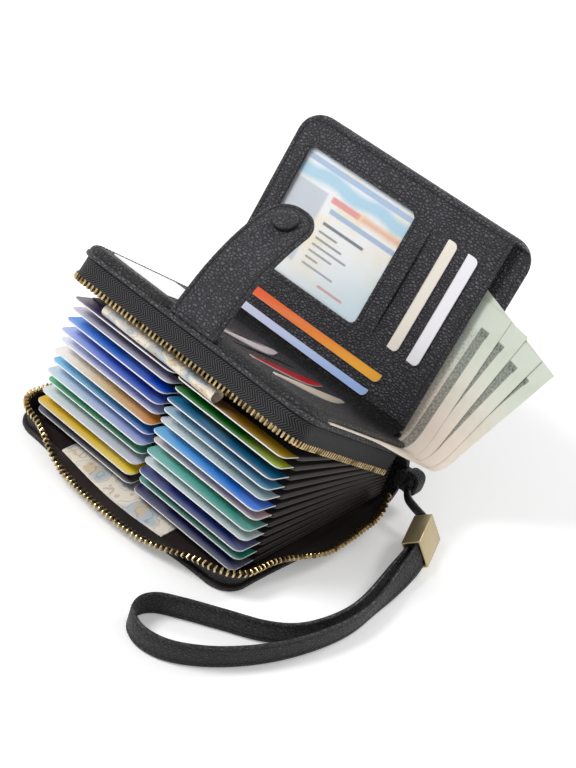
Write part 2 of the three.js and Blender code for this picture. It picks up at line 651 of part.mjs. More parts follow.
// Snap strap: middle line in the lid's Y-Z plane, from the foot on the lid's front edge
const STRAP_FOOT = new THREE.Vector2(-DEPTH + STRAP_FROM_FRONT, LID_TOP + SEAT_GAP);
const leanVector = (degrees) => new THREE.Vector2(Math.cos(radians(degrees)), Math.sin(radians(degrees)));
const STRAP_FOLD = STRAP_FOOT.clone().addScaledVector(leanVector(STRAP_LEAN), STRAP_RISE);

function strapSection(point, lean, width) {
  const normal = leanVector(lean + 90).multiplyScalar(STRAP_THICKNESS / 2);
  const low = point.clone().sub(normal);
  const high = point.clone().add(normal);
  return [
    [-width / 2, low.x, low.y], [width / 2, low.x, low.y],
    [width / 2, high.x, high.y], [-width / 2, high.x, high.y],
  ];
}

function strapFoot() {
  const top = STRAP_FOLD;
  const strip = loft([
    strapSection(STRAP_FOOT, STRAP_LEAN, STRAP_WIDTH), strapSection(top, STRAP_LEAN, STRAP_WIDTH)]);
  return join(strip, bar(top.x, top.y, STRAP_THICKNESS / 2, STRAP_WIDTH));
}

// Middle line of the free tongue: its lean falls steadily from the fold to the tip
function tongueAt(run) {
  const steps = 40;
  const point = STRAP_FOLD.clone();
  const leanAt = (s) => STRAP_LEAN + (STRAP_TIP_LEAN - STRAP_LEAN) * s / STRAP_LENGTH;
  for (let i = 0; i < steps; i += 1) {
    point.addScaledVector(leanVector(leanAt(run * (i + 0.5) / steps)), run / steps);
  }
  return { point, lean: leanAt(run) };
}

function closureStrap() {
  const start = STRAP_THICKNESS / 2 + FOLD_CLEARANCE;
  const roundFrom = STRAP_LENGTH - STRAP_TIP_WIDTH / 2;
  const sections = [];
  for (let i = 0; i <= STRAP_STEPS; i += 1) {
    const share = i / STRAP_STEPS;
    const run = start + (STRAP_LENGTH - start) * Math.sin(share * Math.PI / 2) ** 0.9;
    let width = THREE.MathUtils.lerp(STRAP_WIDTH, STRAP_TIP_WIDTH, run / STRAP_LENGTH);
    if (run > roundFrom) {
      const past = Math.min(1, (run - roundFrom) / (STRAP_LENGTH - roundFrom));
      width = Math.max(STRAP_TIP_FLAT, width * Math.sqrt(Math.max(0, 1 - past ** 2)));
    }
    const { point, lean } = tongueAt(run);
    sections.push(strapSection(point, lean, width));
  }
  return cut(loft(sections), atSnap(new THREE.CylinderGeometry(
    SNAP_STEM_RADIUS + SNAP_CLEARANCE, SNAP_STEM_RADIUS + SNAP_CLEARANCE, 3 * STRAP_THICKNESS, 16)));
}

// Places a round piece, drawn about +Y, on the tongue with +Y as the strap's outer side
function atSnap(geometry) {
  const { point, lean } = tongueAt(STRAP_LENGTH - SNAP_FROM_TIP);
  return geometry.rotateX(radians(lean + 90)).translate(0, point.x, point.y);
}

// Snap cap: covered dome, stem through the strap and socket on the underside
function snapCap() {
  const under = STRAP_THICKNESS / 2 + SNAP_CLEARANCE;
  const profile = [new THREE.Vector2(0, -under - SNAP_SOCKET_HEIGHT)];
  profile.push(new THREE.Vector2(SNAP_SOCKET_RADIUS, -under - SNAP_SOCKET_HEIGHT));
  profile.push(new THREE.Vector2(SNAP_SOCKET_RADIUS, -under));
  profile.push(new THREE.Vector2(SNAP_STEM_RADIUS, -under));
  profile.push(new THREE.Vector2(SNAP_STEM_RADIUS, under));
  profile.push(new THREE.Vector2(SNAP_CAP_RADIUS, under));
  const domeSteps = 5;
  const dome = SNAP_CAP_HEIGHT - SNAP_CAP_RIM;
  for (let i = 0; i <= domeSteps; i += 1) {
    const turn = i / domeSteps * Math.PI / 2;
    const level = under + SNAP_CAP_RIM + dome * Math.sin(turn);
    profile.push(new THREE.Vector2(SNAP_CAP_RADIUS * Math.cos(turn), level));
  }
  profile[profile.length - 1].x = 0;
  return atSnap(new THREE.LatheGeometry(profile, 20));
}

// Flap, drawn shut, from its fold line: X, -Y to the free edge, Z towards its outside
const FLAP_BACK = FLAP_BEAD_RADIUS + FOLD_CLEARANCE;
const FLAP_SHEET_LEVEL = FLAP_PANEL_LIFT + FLAP_PANEL_THICKNESS + SEAT_GAP;
const ID_LEVEL = FLAP_SHEET_LEVEL + WINDOW_SHEET + SEAT_GAP;
const FLAP_NOTE_LEVEL = ID_LEVEL + CARD_THICKNESS + SEAT_GAP;
const NOTE_FAN = NOTE_ANGLES.length * NOTE_SHEET;
const COVER_LEVEL = FLAP_NOTE_LEVEL + NOTE_FAN + SEAT_GAP;

function flapPanel() {
  const left = -WIDTH / 2 + FLAP_PANEL_MARGIN;
  const far = -FLAP_LENGTH + FLAP_PANEL_MARGIN;
  const outline = new THREE.Shape();
  outline.moveTo(left, -FLAP_BACK);
  outline.lineTo(left, far + FLAP_CORNER);
  outline.absarc(left + FLAP_CORNER, far + FLAP_CORNER, FLAP_CORNER, Math.PI, 1.5 * Math.PI);
  outline.lineTo(FLAP_PANEL_RIGHT, far);
  outline.lineTo(FLAP_PANEL_RIGHT, -FLAP_BACK);
  outline.closePath();
  const under = FLAP_PANEL_LIFT - CUT_PAST;
  const over = FLAP_PANEL_LIFT + FLAP_PANEL_THICKNESS + CUT_PAST;
  const window = plate(
    roundedRectangle(WINDOW_LEFT, WINDOW_RIGHT, -WINDOW_FAR, -WINDOW_NEAR, WINDOW_CORNER, WINDOW_CORNER),
    under, over - under);
  const slotFar = -FLAP_SLOT_FROM - FLAP_SLOT_LENGTH;
  const slots = FLAP_SLOTS.map((x) => box(
    WINDOW_RIGHT + x, WINDOW_RIGHT + x + SLOT_WIDTH, slotFar, -FLAP_SLOT_FROM, under, over));
  const lowLeft = WINDOW_LEFT + FLAP_LOW_SLOT_SIDE;
  const lowSlots = FLAP_LOW_SLOTS.map((y) => box(
    lowLeft, lowLeft + FLAP_LOW_SLOT_LENGTH, -y - SLOT_WIDTH / 2, -y + SLOT_WIDTH / 2, under, over));
  return cut(plate(outline, FLAP_PANEL_LIFT, FLAP_PANEL_THICKNESS), window, ...slots, ...lowSlots);
}

function flapCover() {
  const half = WIDTH / 2;
  const outline = roundedRectangle(-half, half, -FLAP_LENGTH, -FLAP_BACK, FLAP_CORNER);
  const rim = new THREE.Shape();
  const reach = FLAP_CORNER - FLAP_RIM;
  rim.moveTo(-half, -FLAP_BACK);
  rim.lineTo(-half, -FLAP_LENGTH + FLAP_CORNER);
  rim.absarc(-half + FLAP_CORNER, -FLAP_LENGTH + FLAP_CORNER, FLAP_CORNER, Math.PI, 1.5 * Math.PI);
  rim.lineTo(FLAP_PANEL_RIGHT, -FLAP_LENGTH);
  rim.lineTo(FLAP_PANEL_RIGHT, -FLAP_LENGTH + FLAP_RIM);
  rim.absarc(-half + FLAP_CORNER, -FLAP_LENGTH + FLAP_CORNER, reach, 1.5 * Math.PI, Math.PI, true);
  rim.lineTo(-half + FLAP_RIM, -FLAP_BACK);
  rim.closePath();
  const inset = PANEL_EDGE_ROUND;
  return join(
    plate(outline, COVER_LEVEL, FLAP_COVER_THICKNESS, PANEL_EDGE_ROUND),
    clip(
      plate(rim, FLAP_SHEET_LEVEL, COVER_LEVEL + FLAP_COVER_THICKNESS / 2 - FLAP_SHEET_LEVEL),
      plate(
        roundedRectangle(-half + inset, half, -FLAP_LENGTH + inset, 0, FLAP_CORNER - inset),
        0, COVER_LEVEL + FLAP_COVER_THICKNESS)));
}

function idWindow() {
  const grow = WINDOW_OVERLAP;
  return plate(roundedRectangle(
    WINDOW_LEFT - grow, WINDOW_RIGHT + grow, -WINDOW_FAR - grow, -WINDOW_NEAR + grow, 0),
  FLAP_SHEET_LEVEL, WINDOW_SHEET);
}

function idCard() {
  const middle = -(WINDOW_NEAR + WINDOW_FAR) / 2;
  const left = WINDOW_LEFT - ID_CARD_PAST;
  return plate(roundedRectangle(
    left, left + CARD_LENGTH, middle - CARD_WIDTH / 2, middle + CARD_WIDTH / 2,
    CARD_CORNER, CARD_CORNER),
  ID_LEVEL, CARD_THICKNESS);
}

// Fan of notes: sheets turned out one after another, all cut off along the fold and inside the sewn rim
function flapNotes() {
  const overlap = NOTE_SHEET / 14;
  const sheets = NOTE_ANGLES.map((angle, i) => {
    const sheet = plate(
      roundedRectangle(NOTE_RIGHT - NOTE_WIDTH, NOTE_RIGHT, -NOTE_REACH, NOTE_REACH / 2, 0),
      FLAP_NOTE_LEVEL + (NOTE_ANGLES.length - 1 - i) * NOTE_SHEET, NOTE_SHEET + (i > 0 ? overlap : 0));
    return sheet.rotateZ(radians(angle)).translate(WIDTH / 2 - NOTE_PIVOT_SIDE, -NOTE_FOLD_GAP, 0);
  });
  const rim = FLAP_RIM + SEAT_GAP;
  return clip(join(...sheets), box(
    -WIDTH / 2 + rim, WIDTH / 2 + NOTE_WIDTH, -FLAP_LENGTH + rim, -NOTE_FOLD_GAP,
    FLAP_NOTE_LEVEL - CUT_PAST, COVER_LEVEL + CUT_PAST));
}

function snapStud() {
  const level = COVER_LEVEL + FLAP_COVER_THICKNESS + SEAT_GAP;
  const profile = [
    [0, 0], [1, 0], [1, 0.5], [0.5, 0.5], [0.5, 0.8], [0.35, 1], [0, 1],
  ].map(([across, up]) => new THREE.Vector2(across * STUD_RADIUS, up * STUD_HEIGHT));
  return new THREE.LatheGeometry(profile, 20).rotateX(Math.PI / 2).translate(0, -STUD_FROM_FOLD, level);
}

// Wrist strap
const TAB_CENTRE = new THREE.Vector3(WIDTH / 2 + SEAT_GAP + TAB_LENGTH / 2, SPINE_SWELL, TAB_CENTRE_HEIGHT);

function wristTab() {
  const long = TAB_LENGTH / 2;
  const tall = TAB_HEIGHT / 2;
  const outline = roundedRectangle(-long, long, -tall, tall, TAB_CORNER, TAB_CORNER);
  outline.holes.push(new THREE.Path(roundedRectangle(
    -long + TAB_WALL, long - TAB_WALL, -tall + TAB_WALL, tall - TAB_WALL, TAB_HOLE_CORNER, TAB_HOLE_CORNER)
    .getPoints(3)));
  return plate(outline, -TAB_WIDTH / 2, TAB_WIDTH).rotateX(Math.PI / 2).translate(...TAB_CENTRE);
}

const SLEEVE_ALONG = new THREE.Vector3(Math.cos(radians(SLEEVE_TURN)), Math.sin(radians(SLEEVE_TURN)), 0);
const SLEEVE_SIDE = new THREE.Vector3(-SLEEVE_ALONG.y, SLEEVE_ALONG.x, 0);
const SLEEVE_MOUTH = 2 * BAND_LEG_OFFSET + BAND_THICKNESS + 2 * SLEEVE_CLEARANCE;
const SLEEVE_TALL = BAND_WIDTH + 2 * SLEEVE_CLEARANCE;
const SLEEVE_START = new THREE.Vector3(
  TAB_CENTRE.x + SLEEVE_PLACE[0], TAB_CENTRE.y + SLEEVE_PLACE[1], SLEEVE_TALL / 2 + SLEEVE_WALL + STRAP_LIFT);
const sleevePoint = (along, side) => SLEEVE_START.clone()
  .addScaledVector(SLEEVE_ALONG, along).addScaledVector(SLEEVE_SIDE, side);

function wristSleeve() {
  const half = SLEEVE_MOUTH / 2 + SLEEVE_WALL;
  const tall = SLEEVE_TALL / 2 + SLEEVE_WALL;
  const outline = roundedRectangle(-half, half, -tall, tall, SLEEVE_CORNER, SLEEVE_CORNER);
  const mouth = box(
    -SLEEVE_MOUTH / 2, SLEEVE_MOUTH / 2, -SLEEVE_TALL / 2, SLEEVE_TALL / 2,
    SLEEVE_END, SLEEVE_LENGTH + CUT_PAST);
  const hole = NECK_RADIUS + SLEEVE_CLEARANCE;
  const neckHole = new THREE.CylinderGeometry(hole, hole, 4 * SLEEVE_END, 16).rotateX(Math.PI / 2);
  const tube = cut(plate(outline, 0, SLEEVE_LENGTH), mouth, neckHole);
  const turn = new THREE.Matrix4().makeBasis(SLEEVE_SIDE, new THREE.Vector3(0, 0, 1), SLEEVE_ALONG);
  return tube.applyMatrix4(turn).translate(...SLEEVE_START);
}

function wristNeck() {
  const route = NECK_ROUTE.map((point) => new THREE.Vector3(...point).add(TAB_CENTRE));
  route.push(sleevePoint(-1, 0), sleevePoint(SLEEVE_ENTRY, 0));
  const section = new THREE.Shape();
  section.absarc(0, 0, NECK_RADIUS, 0, 2 * Math.PI);
  return new THREE.ExtrudeGeometry(section, {
    steps: 14, curveSegments: 4, extrudePath: new THREE.CatmullRomCurve3(route, false, 'centripetal'),
  });
}

// Band: a flat strap on its edge, out of the sleeve, round the loop and back
function wristBand() {
  const inside = SLEEVE_LENGTH - SLEEVE_ENTRY;
  const bandHeight = BAND_WIDTH / 2 + STRAP_LIFT;
  const route = [
    sleevePoint(inside, BAND_LEG_OFFSET), sleevePoint(SLEEVE_LENGTH + 2, BAND_LEG_OFFSET),
    ...BAND_ROUTE.map(([x, y]) => new THREE.Vector3(TAB_CENTRE.x + x, TAB_CENTRE.y + y, bandHeight)),
    sleevePoint(SLEEVE_LENGTH + 2, -BAND_LEG_OFFSET), sleevePoint(inside, -BAND_LEG_OFFSET),
  ];
  const path = new THREE.CatmullRomCurve3(route, false, 'centripetal');
  const sections = [];
  for (let i = 0; i <= BAND_STEPS; i += 1) {
    const point = path.getPointAt(i / BAND_STEPS);
    const along = path.getTangentAt(i / BAND_STEPS).setZ(0).normalize();
    const side = new THREE.Vector3(-along.y, along.x, 0).multiplyScalar(BAND_THICKNESS / 2);
    const low = point.z - BAND_WIDTH / 2;
    const high = point.z + BAND_WIDTH / 2;
    sections.push([
      [point.x - side.x, point.y - side.y, low], [point.x + side.x, point.y + side.y, low],
      [point.x + side.x, point.y + side.y, high], [point.x - side.x, point.y - side.y, high],
    ]);
  }
  return loft(sections);
}

// Assembly: the spine's foot is the middle of the back edge, half a depth behind the origin
const wallet = new THREE.Group();
wallet.position.y = DEPTH / 2;

const basePanel = plate(
  panelOutline(-SPINE_THICKNESS, BASE_BOW_FRONT, BASE_BOW_RIGHT), 0, PANEL_THICKNESS, PANEL_EDGE_ROUND);
wallet.add(piece('base_panel', basePanel, LEATHER));
wallet.add(piece('spine_cover', spineCover(), LEATHER));
wallet.add(piece('lower_zip_tape', zipTape(true), TAPE, 0.9));
wallet.add(piece('lower_zip_teeth', zipTeeth(true), BRASS, 0.35, 0.9));
wallet.add(piece('zip_slider', zipSlider(), BRASS, 0.35, 0.9));
wallet.add(piece('zip_pull', zipPull(), BRASS, 0.35, 0.9));

for (let row = 0; row < LEAF_COUNT; row += 1) {
  const number = String(row + 1).padStart(2, '0');
  const fold = new THREE.Group();
  fold.position.set(0, rowY, rowZ(row));
  fold.rotation.x = -radians(LID_OPEN * FAN_SHARE * (row + 1) / LEAF_COUNT);
  const leftColour = LEFT_CARD_COLOURS[row % LEFT_CARD_COLOURS.length];
  const rightColour = RIGHT_CARD_COLOURS[row % RIGHT_CARD_COLOURS.length];
  fold.add(piece(`leaf_${number}`, leaf(), LEATHER_LINING, 0.8));
  fold.add(piece(`card_left_${number}`, card(row, -1), leftColour, 0.3));
  fold.add(piece(`card_right_${number}`, card(row, 1), rightColour, 0.3));
  wallet.add(fold);
}

const lid = new THREE.Group();
lid.position.set(0, 0, LID_FOLD_Z);
lid.rotation.x = -radians(LID_OPEN);
lid.add(piece('lid_panel', lidPanel(), LEATHER));
lid.add(piece('upper_zip_tape', zipTape(false), TAPE, 0.9));
lid.add(piece('upper_zip_teeth', zipTeeth(false), BRASS, 0.35, 0.9));
lid.add(piece('lid_slot_panel', lidSlotPanel(), LEATHER));
lid.add(piece('lid_notes', lidNotes(), '#cfd3b8', 0.9));
lid.add(piece('strap_foot', strapFoot(), LEATHER));
lid.add(piece('closure_strap', closureStrap(), LEATHER));
lid.add(piece('snap_cap', snapCap(), LEATHER, 0.5));
wallet.add(lid);

const flap = new THREE.Group();
flap.position.set(0, FLAP_FOLD_BACK, FLAP_FOLD_Z);
flap.rotation.x = -radians(FLAP_OPEN);
flap.add(piece('flap_panel', flapPanel(), LEATHER));
flap.add(piece('flap_cover', flapCover(), LEATHER));
flap.add(piece('id_window', idWindow(), '#dfe6ea', 0.1));
flap.add(piece('id_card', idCard(), '#b9d5e6', 0.4));
flap.add(piece('flap_notes', flapNotes(), '#c9ceb4', 0.9));
flap.add(piece('snap_stud', snapStud(), BRASS, 0.35, 0.9));
lid.add(flap);

wallet.add(piece('wrist_tab', wristTab(), LEATHER));
wallet.add(piece('wrist_neck', wristNeck(), LEATHER));
wallet.add(piece('wrist_sleeve', wristSleeve(), BRASS, 0.3, 0.9));
wallet.add(piece('wrist_band', wristBand(), LEATHER));

export default wallet;
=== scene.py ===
# %% [markdown]
# This lesson dresses a wristlet card wallet: a zip-round case that fans open, a bifold flap with an ID window,
# a snap strap and a wrist strap. The solid model already has every part in its place and tells how the parts
# fold, so each Blender piece is made where its solid is, and most then ride on the same body.

# %% Load the imported wallet
import math
import bpy
import numpy as np
from mathutils import Matrix, Vector


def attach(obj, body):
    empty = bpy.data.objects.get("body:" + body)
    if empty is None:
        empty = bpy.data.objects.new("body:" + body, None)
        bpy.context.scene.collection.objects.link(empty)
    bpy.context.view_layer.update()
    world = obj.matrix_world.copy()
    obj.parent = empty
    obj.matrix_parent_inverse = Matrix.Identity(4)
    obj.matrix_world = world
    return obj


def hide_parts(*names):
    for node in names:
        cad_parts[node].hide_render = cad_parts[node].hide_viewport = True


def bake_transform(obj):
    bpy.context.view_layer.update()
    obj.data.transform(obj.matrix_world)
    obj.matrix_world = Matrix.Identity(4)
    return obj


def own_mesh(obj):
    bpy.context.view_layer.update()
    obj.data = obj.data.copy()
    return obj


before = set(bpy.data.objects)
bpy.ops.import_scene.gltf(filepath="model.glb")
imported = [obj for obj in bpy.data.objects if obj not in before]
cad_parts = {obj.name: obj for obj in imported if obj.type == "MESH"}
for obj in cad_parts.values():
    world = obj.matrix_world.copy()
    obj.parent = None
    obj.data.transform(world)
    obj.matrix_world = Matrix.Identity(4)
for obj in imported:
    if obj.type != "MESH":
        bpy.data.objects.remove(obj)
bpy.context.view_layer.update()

# %% [markdown]
# The camera looks down at the wallet from the front right, and it is rolled so that the wallet leans in the
# picture as in the photograph. Three directions fix it: where it stands, what it aims at, and which way is up.

# %% Camera
CAMERA_AT = Vector((0.28307, -0.43762, 0.40452))
AIM_AT = Vector((0.01296, 0.02233, 0.04095))
CAMERA_UP = Vector((-0.54574, 0.29942, 0.78263))
backwards = (CAMERA_AT - AIM_AT).normalized()
rightwards = CAMERA_UP.cross(backwards).normalized()
upwards = backwards.cross(rightwards)
bpy.ops.object.camera_add()
camera = bpy.context.object
camera.matrix_world = Matrix.Translation(CAMERA_AT) @ Matrix(
    (rightwards, upwards, backwards)).transposed().to_4x4()
camera.data.sensor_width = 36
camera.data.lens = 76.2
scene = bpy.context.scene
scene.camera = camera
scene.view_settings.view_transform = "Standard"
print("camera lens", camera.data.lens)

# %% [markdown]
# Materials are node trees. These helpers each add one kind of node, set its options and link or fill its inputs, so
# that a finish reads as a short list of steps. Colours are written as they look on screen and turned into the linear
# numbers that the shader works with.

# %% Node helpers
def join(tree, socket, value):
    if isinstance(value, bpy.types.NodeSocket):
        tree.links.new(value, socket)
    else:
        socket.default_value = value


def add(tree, kind, inputs=None, **options):
    made = tree.nodes.new(kind)
    for name, value in options.items():
        setattr(made, name, value)
    for name, value in (inputs or {}).items():
        join(tree, made.inputs[name], value)
    return made


def colour(text, gain=1.0):
    parts = [int(text[i:i + 2], 16) / 255 for i in (0, 2, 4)]
    linear = [p / 12.92 if p <= 0.04045 else ((p + 0.055) / 1.055) ** 2.4 for p in parts]
    return tuple(p * gain for p in linear) + (1.0,)


def sums(tree, operation, a, b=0.0, c=0.0):
    return add(tree, "ShaderNodeMath", {0: a, 1: b, 2: c}, operation=operation).outputs[0]


def times(tree, a, b):
    return sums(tree, "MULTIPLY", a, b)


def mixed(tree, share, a, b):
    return add(tree, "ShaderNodeMix", {0: share, 6: a, 7: b}, data_type="RGBA").outputs[2]


def ranged(tree, value, low, high, to_low=0.0, to_high=1.0):
    return add(tree, "ShaderNodeMapRange", {0: value, 1: low, 2: high, 3: to_low, 4: to_high},
               interpolation_type="SMOOTHSTEP").outputs[0]


def noise(tree, where, scale, detail=2.0):
    return add(tree, "ShaderNodeTexNoise", {"Vector": where, "Scale": scale, "Detail": detail}).outputs["Fac"]


def bumped(tree, strength, depth, height):
    return add(tree, "ShaderNodeBump", {"Strength": strength, "Distance": depth, "Height": height}).outputs["Normal"]


def attribute(tree, name):
    return add(tree, "ShaderNodeAttribute", attribute_name=name).outputs["Fac"]


def object_place(tree):
    return add(tree, "ShaderNodeTexCoord").outputs["Object"]


def own_uv(tree):
    return add(tree, "ShaderNodeUVMap", uv_map="UVMap").outputs["UV"]


def across_up(tree):
    place = add(tree, "ShaderNodeSeparateXYZ", {0: own_uv(tree)})
    return place.outputs["X"], place.outputs["Y"]


def new_finish(name):
    made = bpy.data.materials.new(name)
    made.use_nodes = True
    return made, made.node_tree, made.node_tree.nodes["Principled BSDF"]


def fill(tree, shader, **inputs):
    for name, value in inputs.items():
        join(tree, shader.inputs[name.replace("_", " ")], value)


print("node helpers ready")

# %% [markdown]
# The studio is a white floor under a soft lamp from the left and a weaker one behind. The surround is pure white
# to the camera. Reflections see it white at eye level and dimmer overhead, as under a real ceiling, which is what
# makes one side of a polished metal block bright and its top dark.

# %% Studio
def studio_world(fill_level, ceiling_level):
    world = bpy.data.worlds.new("studio")
    scene.world = world
    world.use_nodes = True
    tree = world.node_tree
    path = add(tree, "ShaderNodeLightPath")
    seen = sums(tree, "MAXIMUM", path.outputs["Is Camera Ray"], path.outputs["Is Transmission Ray"])
    height = add(tree, "ShaderNodeSeparateXYZ", {0: add(tree, "ShaderNodeTexCoord").outputs["Generated"]}).outputs["Z"]
    mirrored = ranged(tree, height, 0.1, 0.65, 1.0, ceiling_level)
    change = sums(tree, "SUBTRACT", mirrored, fill_level)
    shone = sums(tree, "MULTIPLY_ADD", path.outputs["Is Glossy Ray"], change, fill_level)
    level = sums(tree, "MULTIPLY_ADD", seen, sums(tree, "SUBTRACT", 1.0, shone), shone)
    background = tree.nodes["Background"]
    background.inputs["Color"].default_value = (1, 1, 1, 1)
    tree.links.new(level, background.inputs["Strength"])


def soft_lamp(name, place, aim, size, power):
    bpy.ops.object.light_add(type="AREA", location=place)
    lamp = bpy.context.object
    lamp.name = name
    lamp.data.shape = "DISK"
    lamp.data.size = size
    lamp.data.energy = power
    lamp.rotation_euler = (Vector(place) - Vector(aim)).to_track_quat("Z", "Y").to_euler()


studio_world(0.54, 0.32)
soft_lamp("key_lamp", (-0.55, -0.6, 0.95), (0, 0, 0.03), 0.42, 8.5)
soft_lamp("back_lamp", (0.2, 0.8, 0.75), (0, 0, 0.05), 0.35, 3.5)
bpy.ops.object.select_all(action="DESELECT")
bpy.ops.mesh.primitive_plane_add(size=5)
floor = bpy.context.object
floor.name = "floor"
white, tree, shader = new_finish("white_floor")
grain = add(tree, "ShaderNodeTexNoise", {"Scale": 6.0})
path = add(tree, "ShaderNodeLightPath")
seen = sums(tree, "MAXIMUM", path.outputs["Is Camera Ray"],
            sums(tree, "MAXIMUM", path.outputs["Is Glossy Ray"], path.outputs["Is Transmission Ray"]))
fill(tree, shader, Base_Color=mixed(tree, grain.outputs["Fac"], colour("f4f4f4"), colour("f8f8f8")),
     Roughness=0.9, Emission_Color=(1, 1, 1, 1), Emission_Strength=times(tree, seen, 0.22))
floor.data.materials.append(white)
print("studio ready")

# %% [markdown]
# Pebbled leather covers most of the wallet. Its grain is a net of fine creases round raised pebbles about a
# millimetre wide, drawn out along X as the hide was stretched. A Voronoi texture that measures the distance to its
# cell edges gives that net, and a second finer one breaks up the pebbles' tops. It is a shared group, because several
# finishes use the same grain.

# %% Shared grain
PEBBLE = bpy.data.node_groups.new("pebble_grain", "ShaderNodeTree")
for label, way, kind in (("Vector", "INPUT", "Vector"), ("Size", "INPUT", "Float"), ("Height", "OUTPUT", "Float"),
                         ("Crease", "OUTPUT", "Float")):
    PEBBLE.interface.new_socket(label, in_out=way, socket_type="NodeSocket" + kind)
into, out = PEBBLE.nodes.new("NodeGroupInput"), PEBBLE.nodes.new("NodeGroupOutput")


def cell_edges(where, density):
    scale = sums(PEBBLE, "DIVIDE", density, into.outputs["Size"])
    return add(PEBBLE, "ShaderNodeTexVoronoi", {"Vector": where, "Scale": scale},
               feature="DISTANCE_TO_EDGE").outputs["Distance"]


drawn = add(PEBBLE, "ShaderNodeVectorMath", {0: into.outputs["Vector"], 1: (0.72, 1.15, 1.15)}, operation="MULTIPLY")
stir = add(PEBBLE, "ShaderNodeTexNoise", {"Vector": drawn.outputs[0], "Scale": 330.0, "Detail": 2.0})
shift = add(PEBBLE, "ShaderNodeVectorMath", {0: stir.outputs["Color"], 1: (0.0009, 0.0009, 0.0009),
                                             2: drawn.outputs[0]}, operation="MULTIPLY_ADD")
valley = ranged(PEBBLE, cell_edges(shift.outputs[0], 760.0), 0.0, 0.48, 1.0, 0.0)
pebble = sums(PEBBLE, "SUBTRACT", 1.0, times(PEBBLE, valley, valley))
fine = ranged(PEBBLE, cell_edges(shift.outputs[0], 2100.0), 0.0, 0.3)
height = sums(PEBBLE, "MULTIPLY_ADD", fine, 0.16, times(PEBBLE, pebble, 0.84))
PEBBLE.links.new(height, out.inputs["Height"])
PEBBLE.links.new(sums(PEBBLE, "POWER", valley, 2.6), out.inputs["Crease"])
print("grain group:", len(PEBBLE.nodes), "nodes")

# %% [markdown]
# The leather itself is near black. Creases get painted shade, a darker mix, and are duller than the pebble tops, broad
# soft patches vary the tone, and the rolled edges are rubbed slightly paler. Every panel carries an attribute with the
# distance to its own edge in millimetres, which the rubbed edge reads, and a sewn panel one that marks its seam's
# groove, which gets the same painted shade.

# %% Leather
def leather_finish(name, tone, relief=1.0, size=1.0, rough=0.32):
    made, tree, shader = new_finish(name)
    where = object_place(tree)
    grain = add(tree, "ShaderNodeGroup", {"Vector": where, "Size": size}, node_tree=PEBBLE)
    patch = ranged(tree, noise(tree, where, 45.0, 3.0), 0.3, 0.75)
    body = mixed(tree, patch, colour(tone), colour(tone, 1.35))
    rubbed = ranged(tree, attribute(tree, "edge"), 0.15, 0.9, 1.0, 0.0)
    worn = mixed(tree, times(tree, rubbed, 0.3), body, colour("6a676b"))
    # Painted shade: the creases and the seam groove are mixed towards near black.
    sunk = sums(tree, "MAXIMUM", times(tree, grain.outputs["Crease"], 0.86), attribute(tree, "seam"))
    fill(tree, shader, Base_Color=mixed(tree, sunk, worn, colour("060606")), Specular_IOR_Level=0.5,
         Roughness=sums(tree, "MULTIPLY_ADD", grain.outputs["Crease"], 0.3, rough),
         Normal=bumped(tree, relief, 0.0008, grain.outputs["Height"]))
    return made


# One leather in several tones: the pocket and base finishes are darker copies of it, painted shade on the pocket, base,
# spine, roll and fold strips.
LEATHER = leather_finish("black_pebbled_leather", "5d5b61")
SHADED_POCKET_LEATHER = leather_finish("pocket_leather", "2a282b")
SHADED_LEATHER = leather_finish("base_leather", "1a191a")
STRAP_LEATHER = leather_finish("strap_leather", "57555b", 1.0, 0.95, 0.32)
BAND_LEATHER = leather_finish("band_leather", "211f22", 0.9, 0.95, 0.33)
EDGE_PAINT = leather_finish("painted_edge", "121112", 0.12, 2.2, 0.36)
print("leather finishes ready")

# %% [markdown]
# The lining and the accordion leaves are dark brown cloth with a soft sheen. A fine crossed wave gives the weave,
# and the leaves' cut edges show a lighter line, again from the edge attribute.

# %% Lining cloth
def cloth_finish(name, tone, edge_tone, edge_width=0.25):
    made, tree, shader = new_finish(name)
    where = object_place(tree)
    warp, weft = (add(tree, "ShaderNodeTexWave", {"Vector": where, "Scale": 420.0, "Distortion": 0.6},
                      bands_direction=way).outputs["Fac"] for way in "XY")
    patch = ranged(tree, noise(tree, where, 60.0, 3.0), 0.25, 0.8)
    body = mixed(tree, patch, colour(tone), colour(tone, 2.1))
    rim = ranged(tree, attribute(tree, "edge"), edge_width * 0.3, edge_width, 1.0, 0.0)
    fill(tree, shader, Base_Color=mixed(tree, rim, body, colour(edge_tone)), Roughness=0.5, Sheen_Weight=0.06,
         Specular_IOR_Level=0.3, Normal=bumped(tree, 0.25, 0.0001, times(tree, warp, weft)))
    return made


LINING = cloth_finish("brown_lining", "1d1515", "2a1f1e")
LEAF_CLOTH = cloth_finish("leaf_cloth", "161112", "594946", 0.55)
print("cloth finishes:", LINING.name, LEAF_CLOTH.name)

# %% [markdown]
# Zip tape is woven in a herringbone. Its own UV map counts millimetres along and up the tape, so the pattern
# follows the curve: the diagonal lines turn back at every rib, which a ping-pong of the height gives.

# %% Zip tape
RIB_WIDTH, THREAD_PITCH = 3.0, 1.25
TAPE, tree, shader = new_finish("herringbone_tape")
across, up = across_up(tree)
slanted = sums(tree, "ADD", across, sums(tree, "PINGPONG", up, RIB_WIDTH))
weave = ranged(tree, sums(tree, "SINE", times(tree, slanted, 2 * math.pi / THREAD_PITCH)), -0.6, 0.8)
fill(tree, shader, Base_Color=mixed(tree, weave, colour("080708"), colour("454346")), Roughness=0.6,
     Specular_IOR_Level=0.25, Normal=bumped(tree, 0.7, 0.0004, weave))
print("tape finish:", TAPE.name)

# %% [markdown]
# The teeth, the slider and the wrist sleeve are antique brass: a warm metal whose hollows have gone brown. Noise
# mixes the bright and the tarnished tone and roughens the metal in the same places.

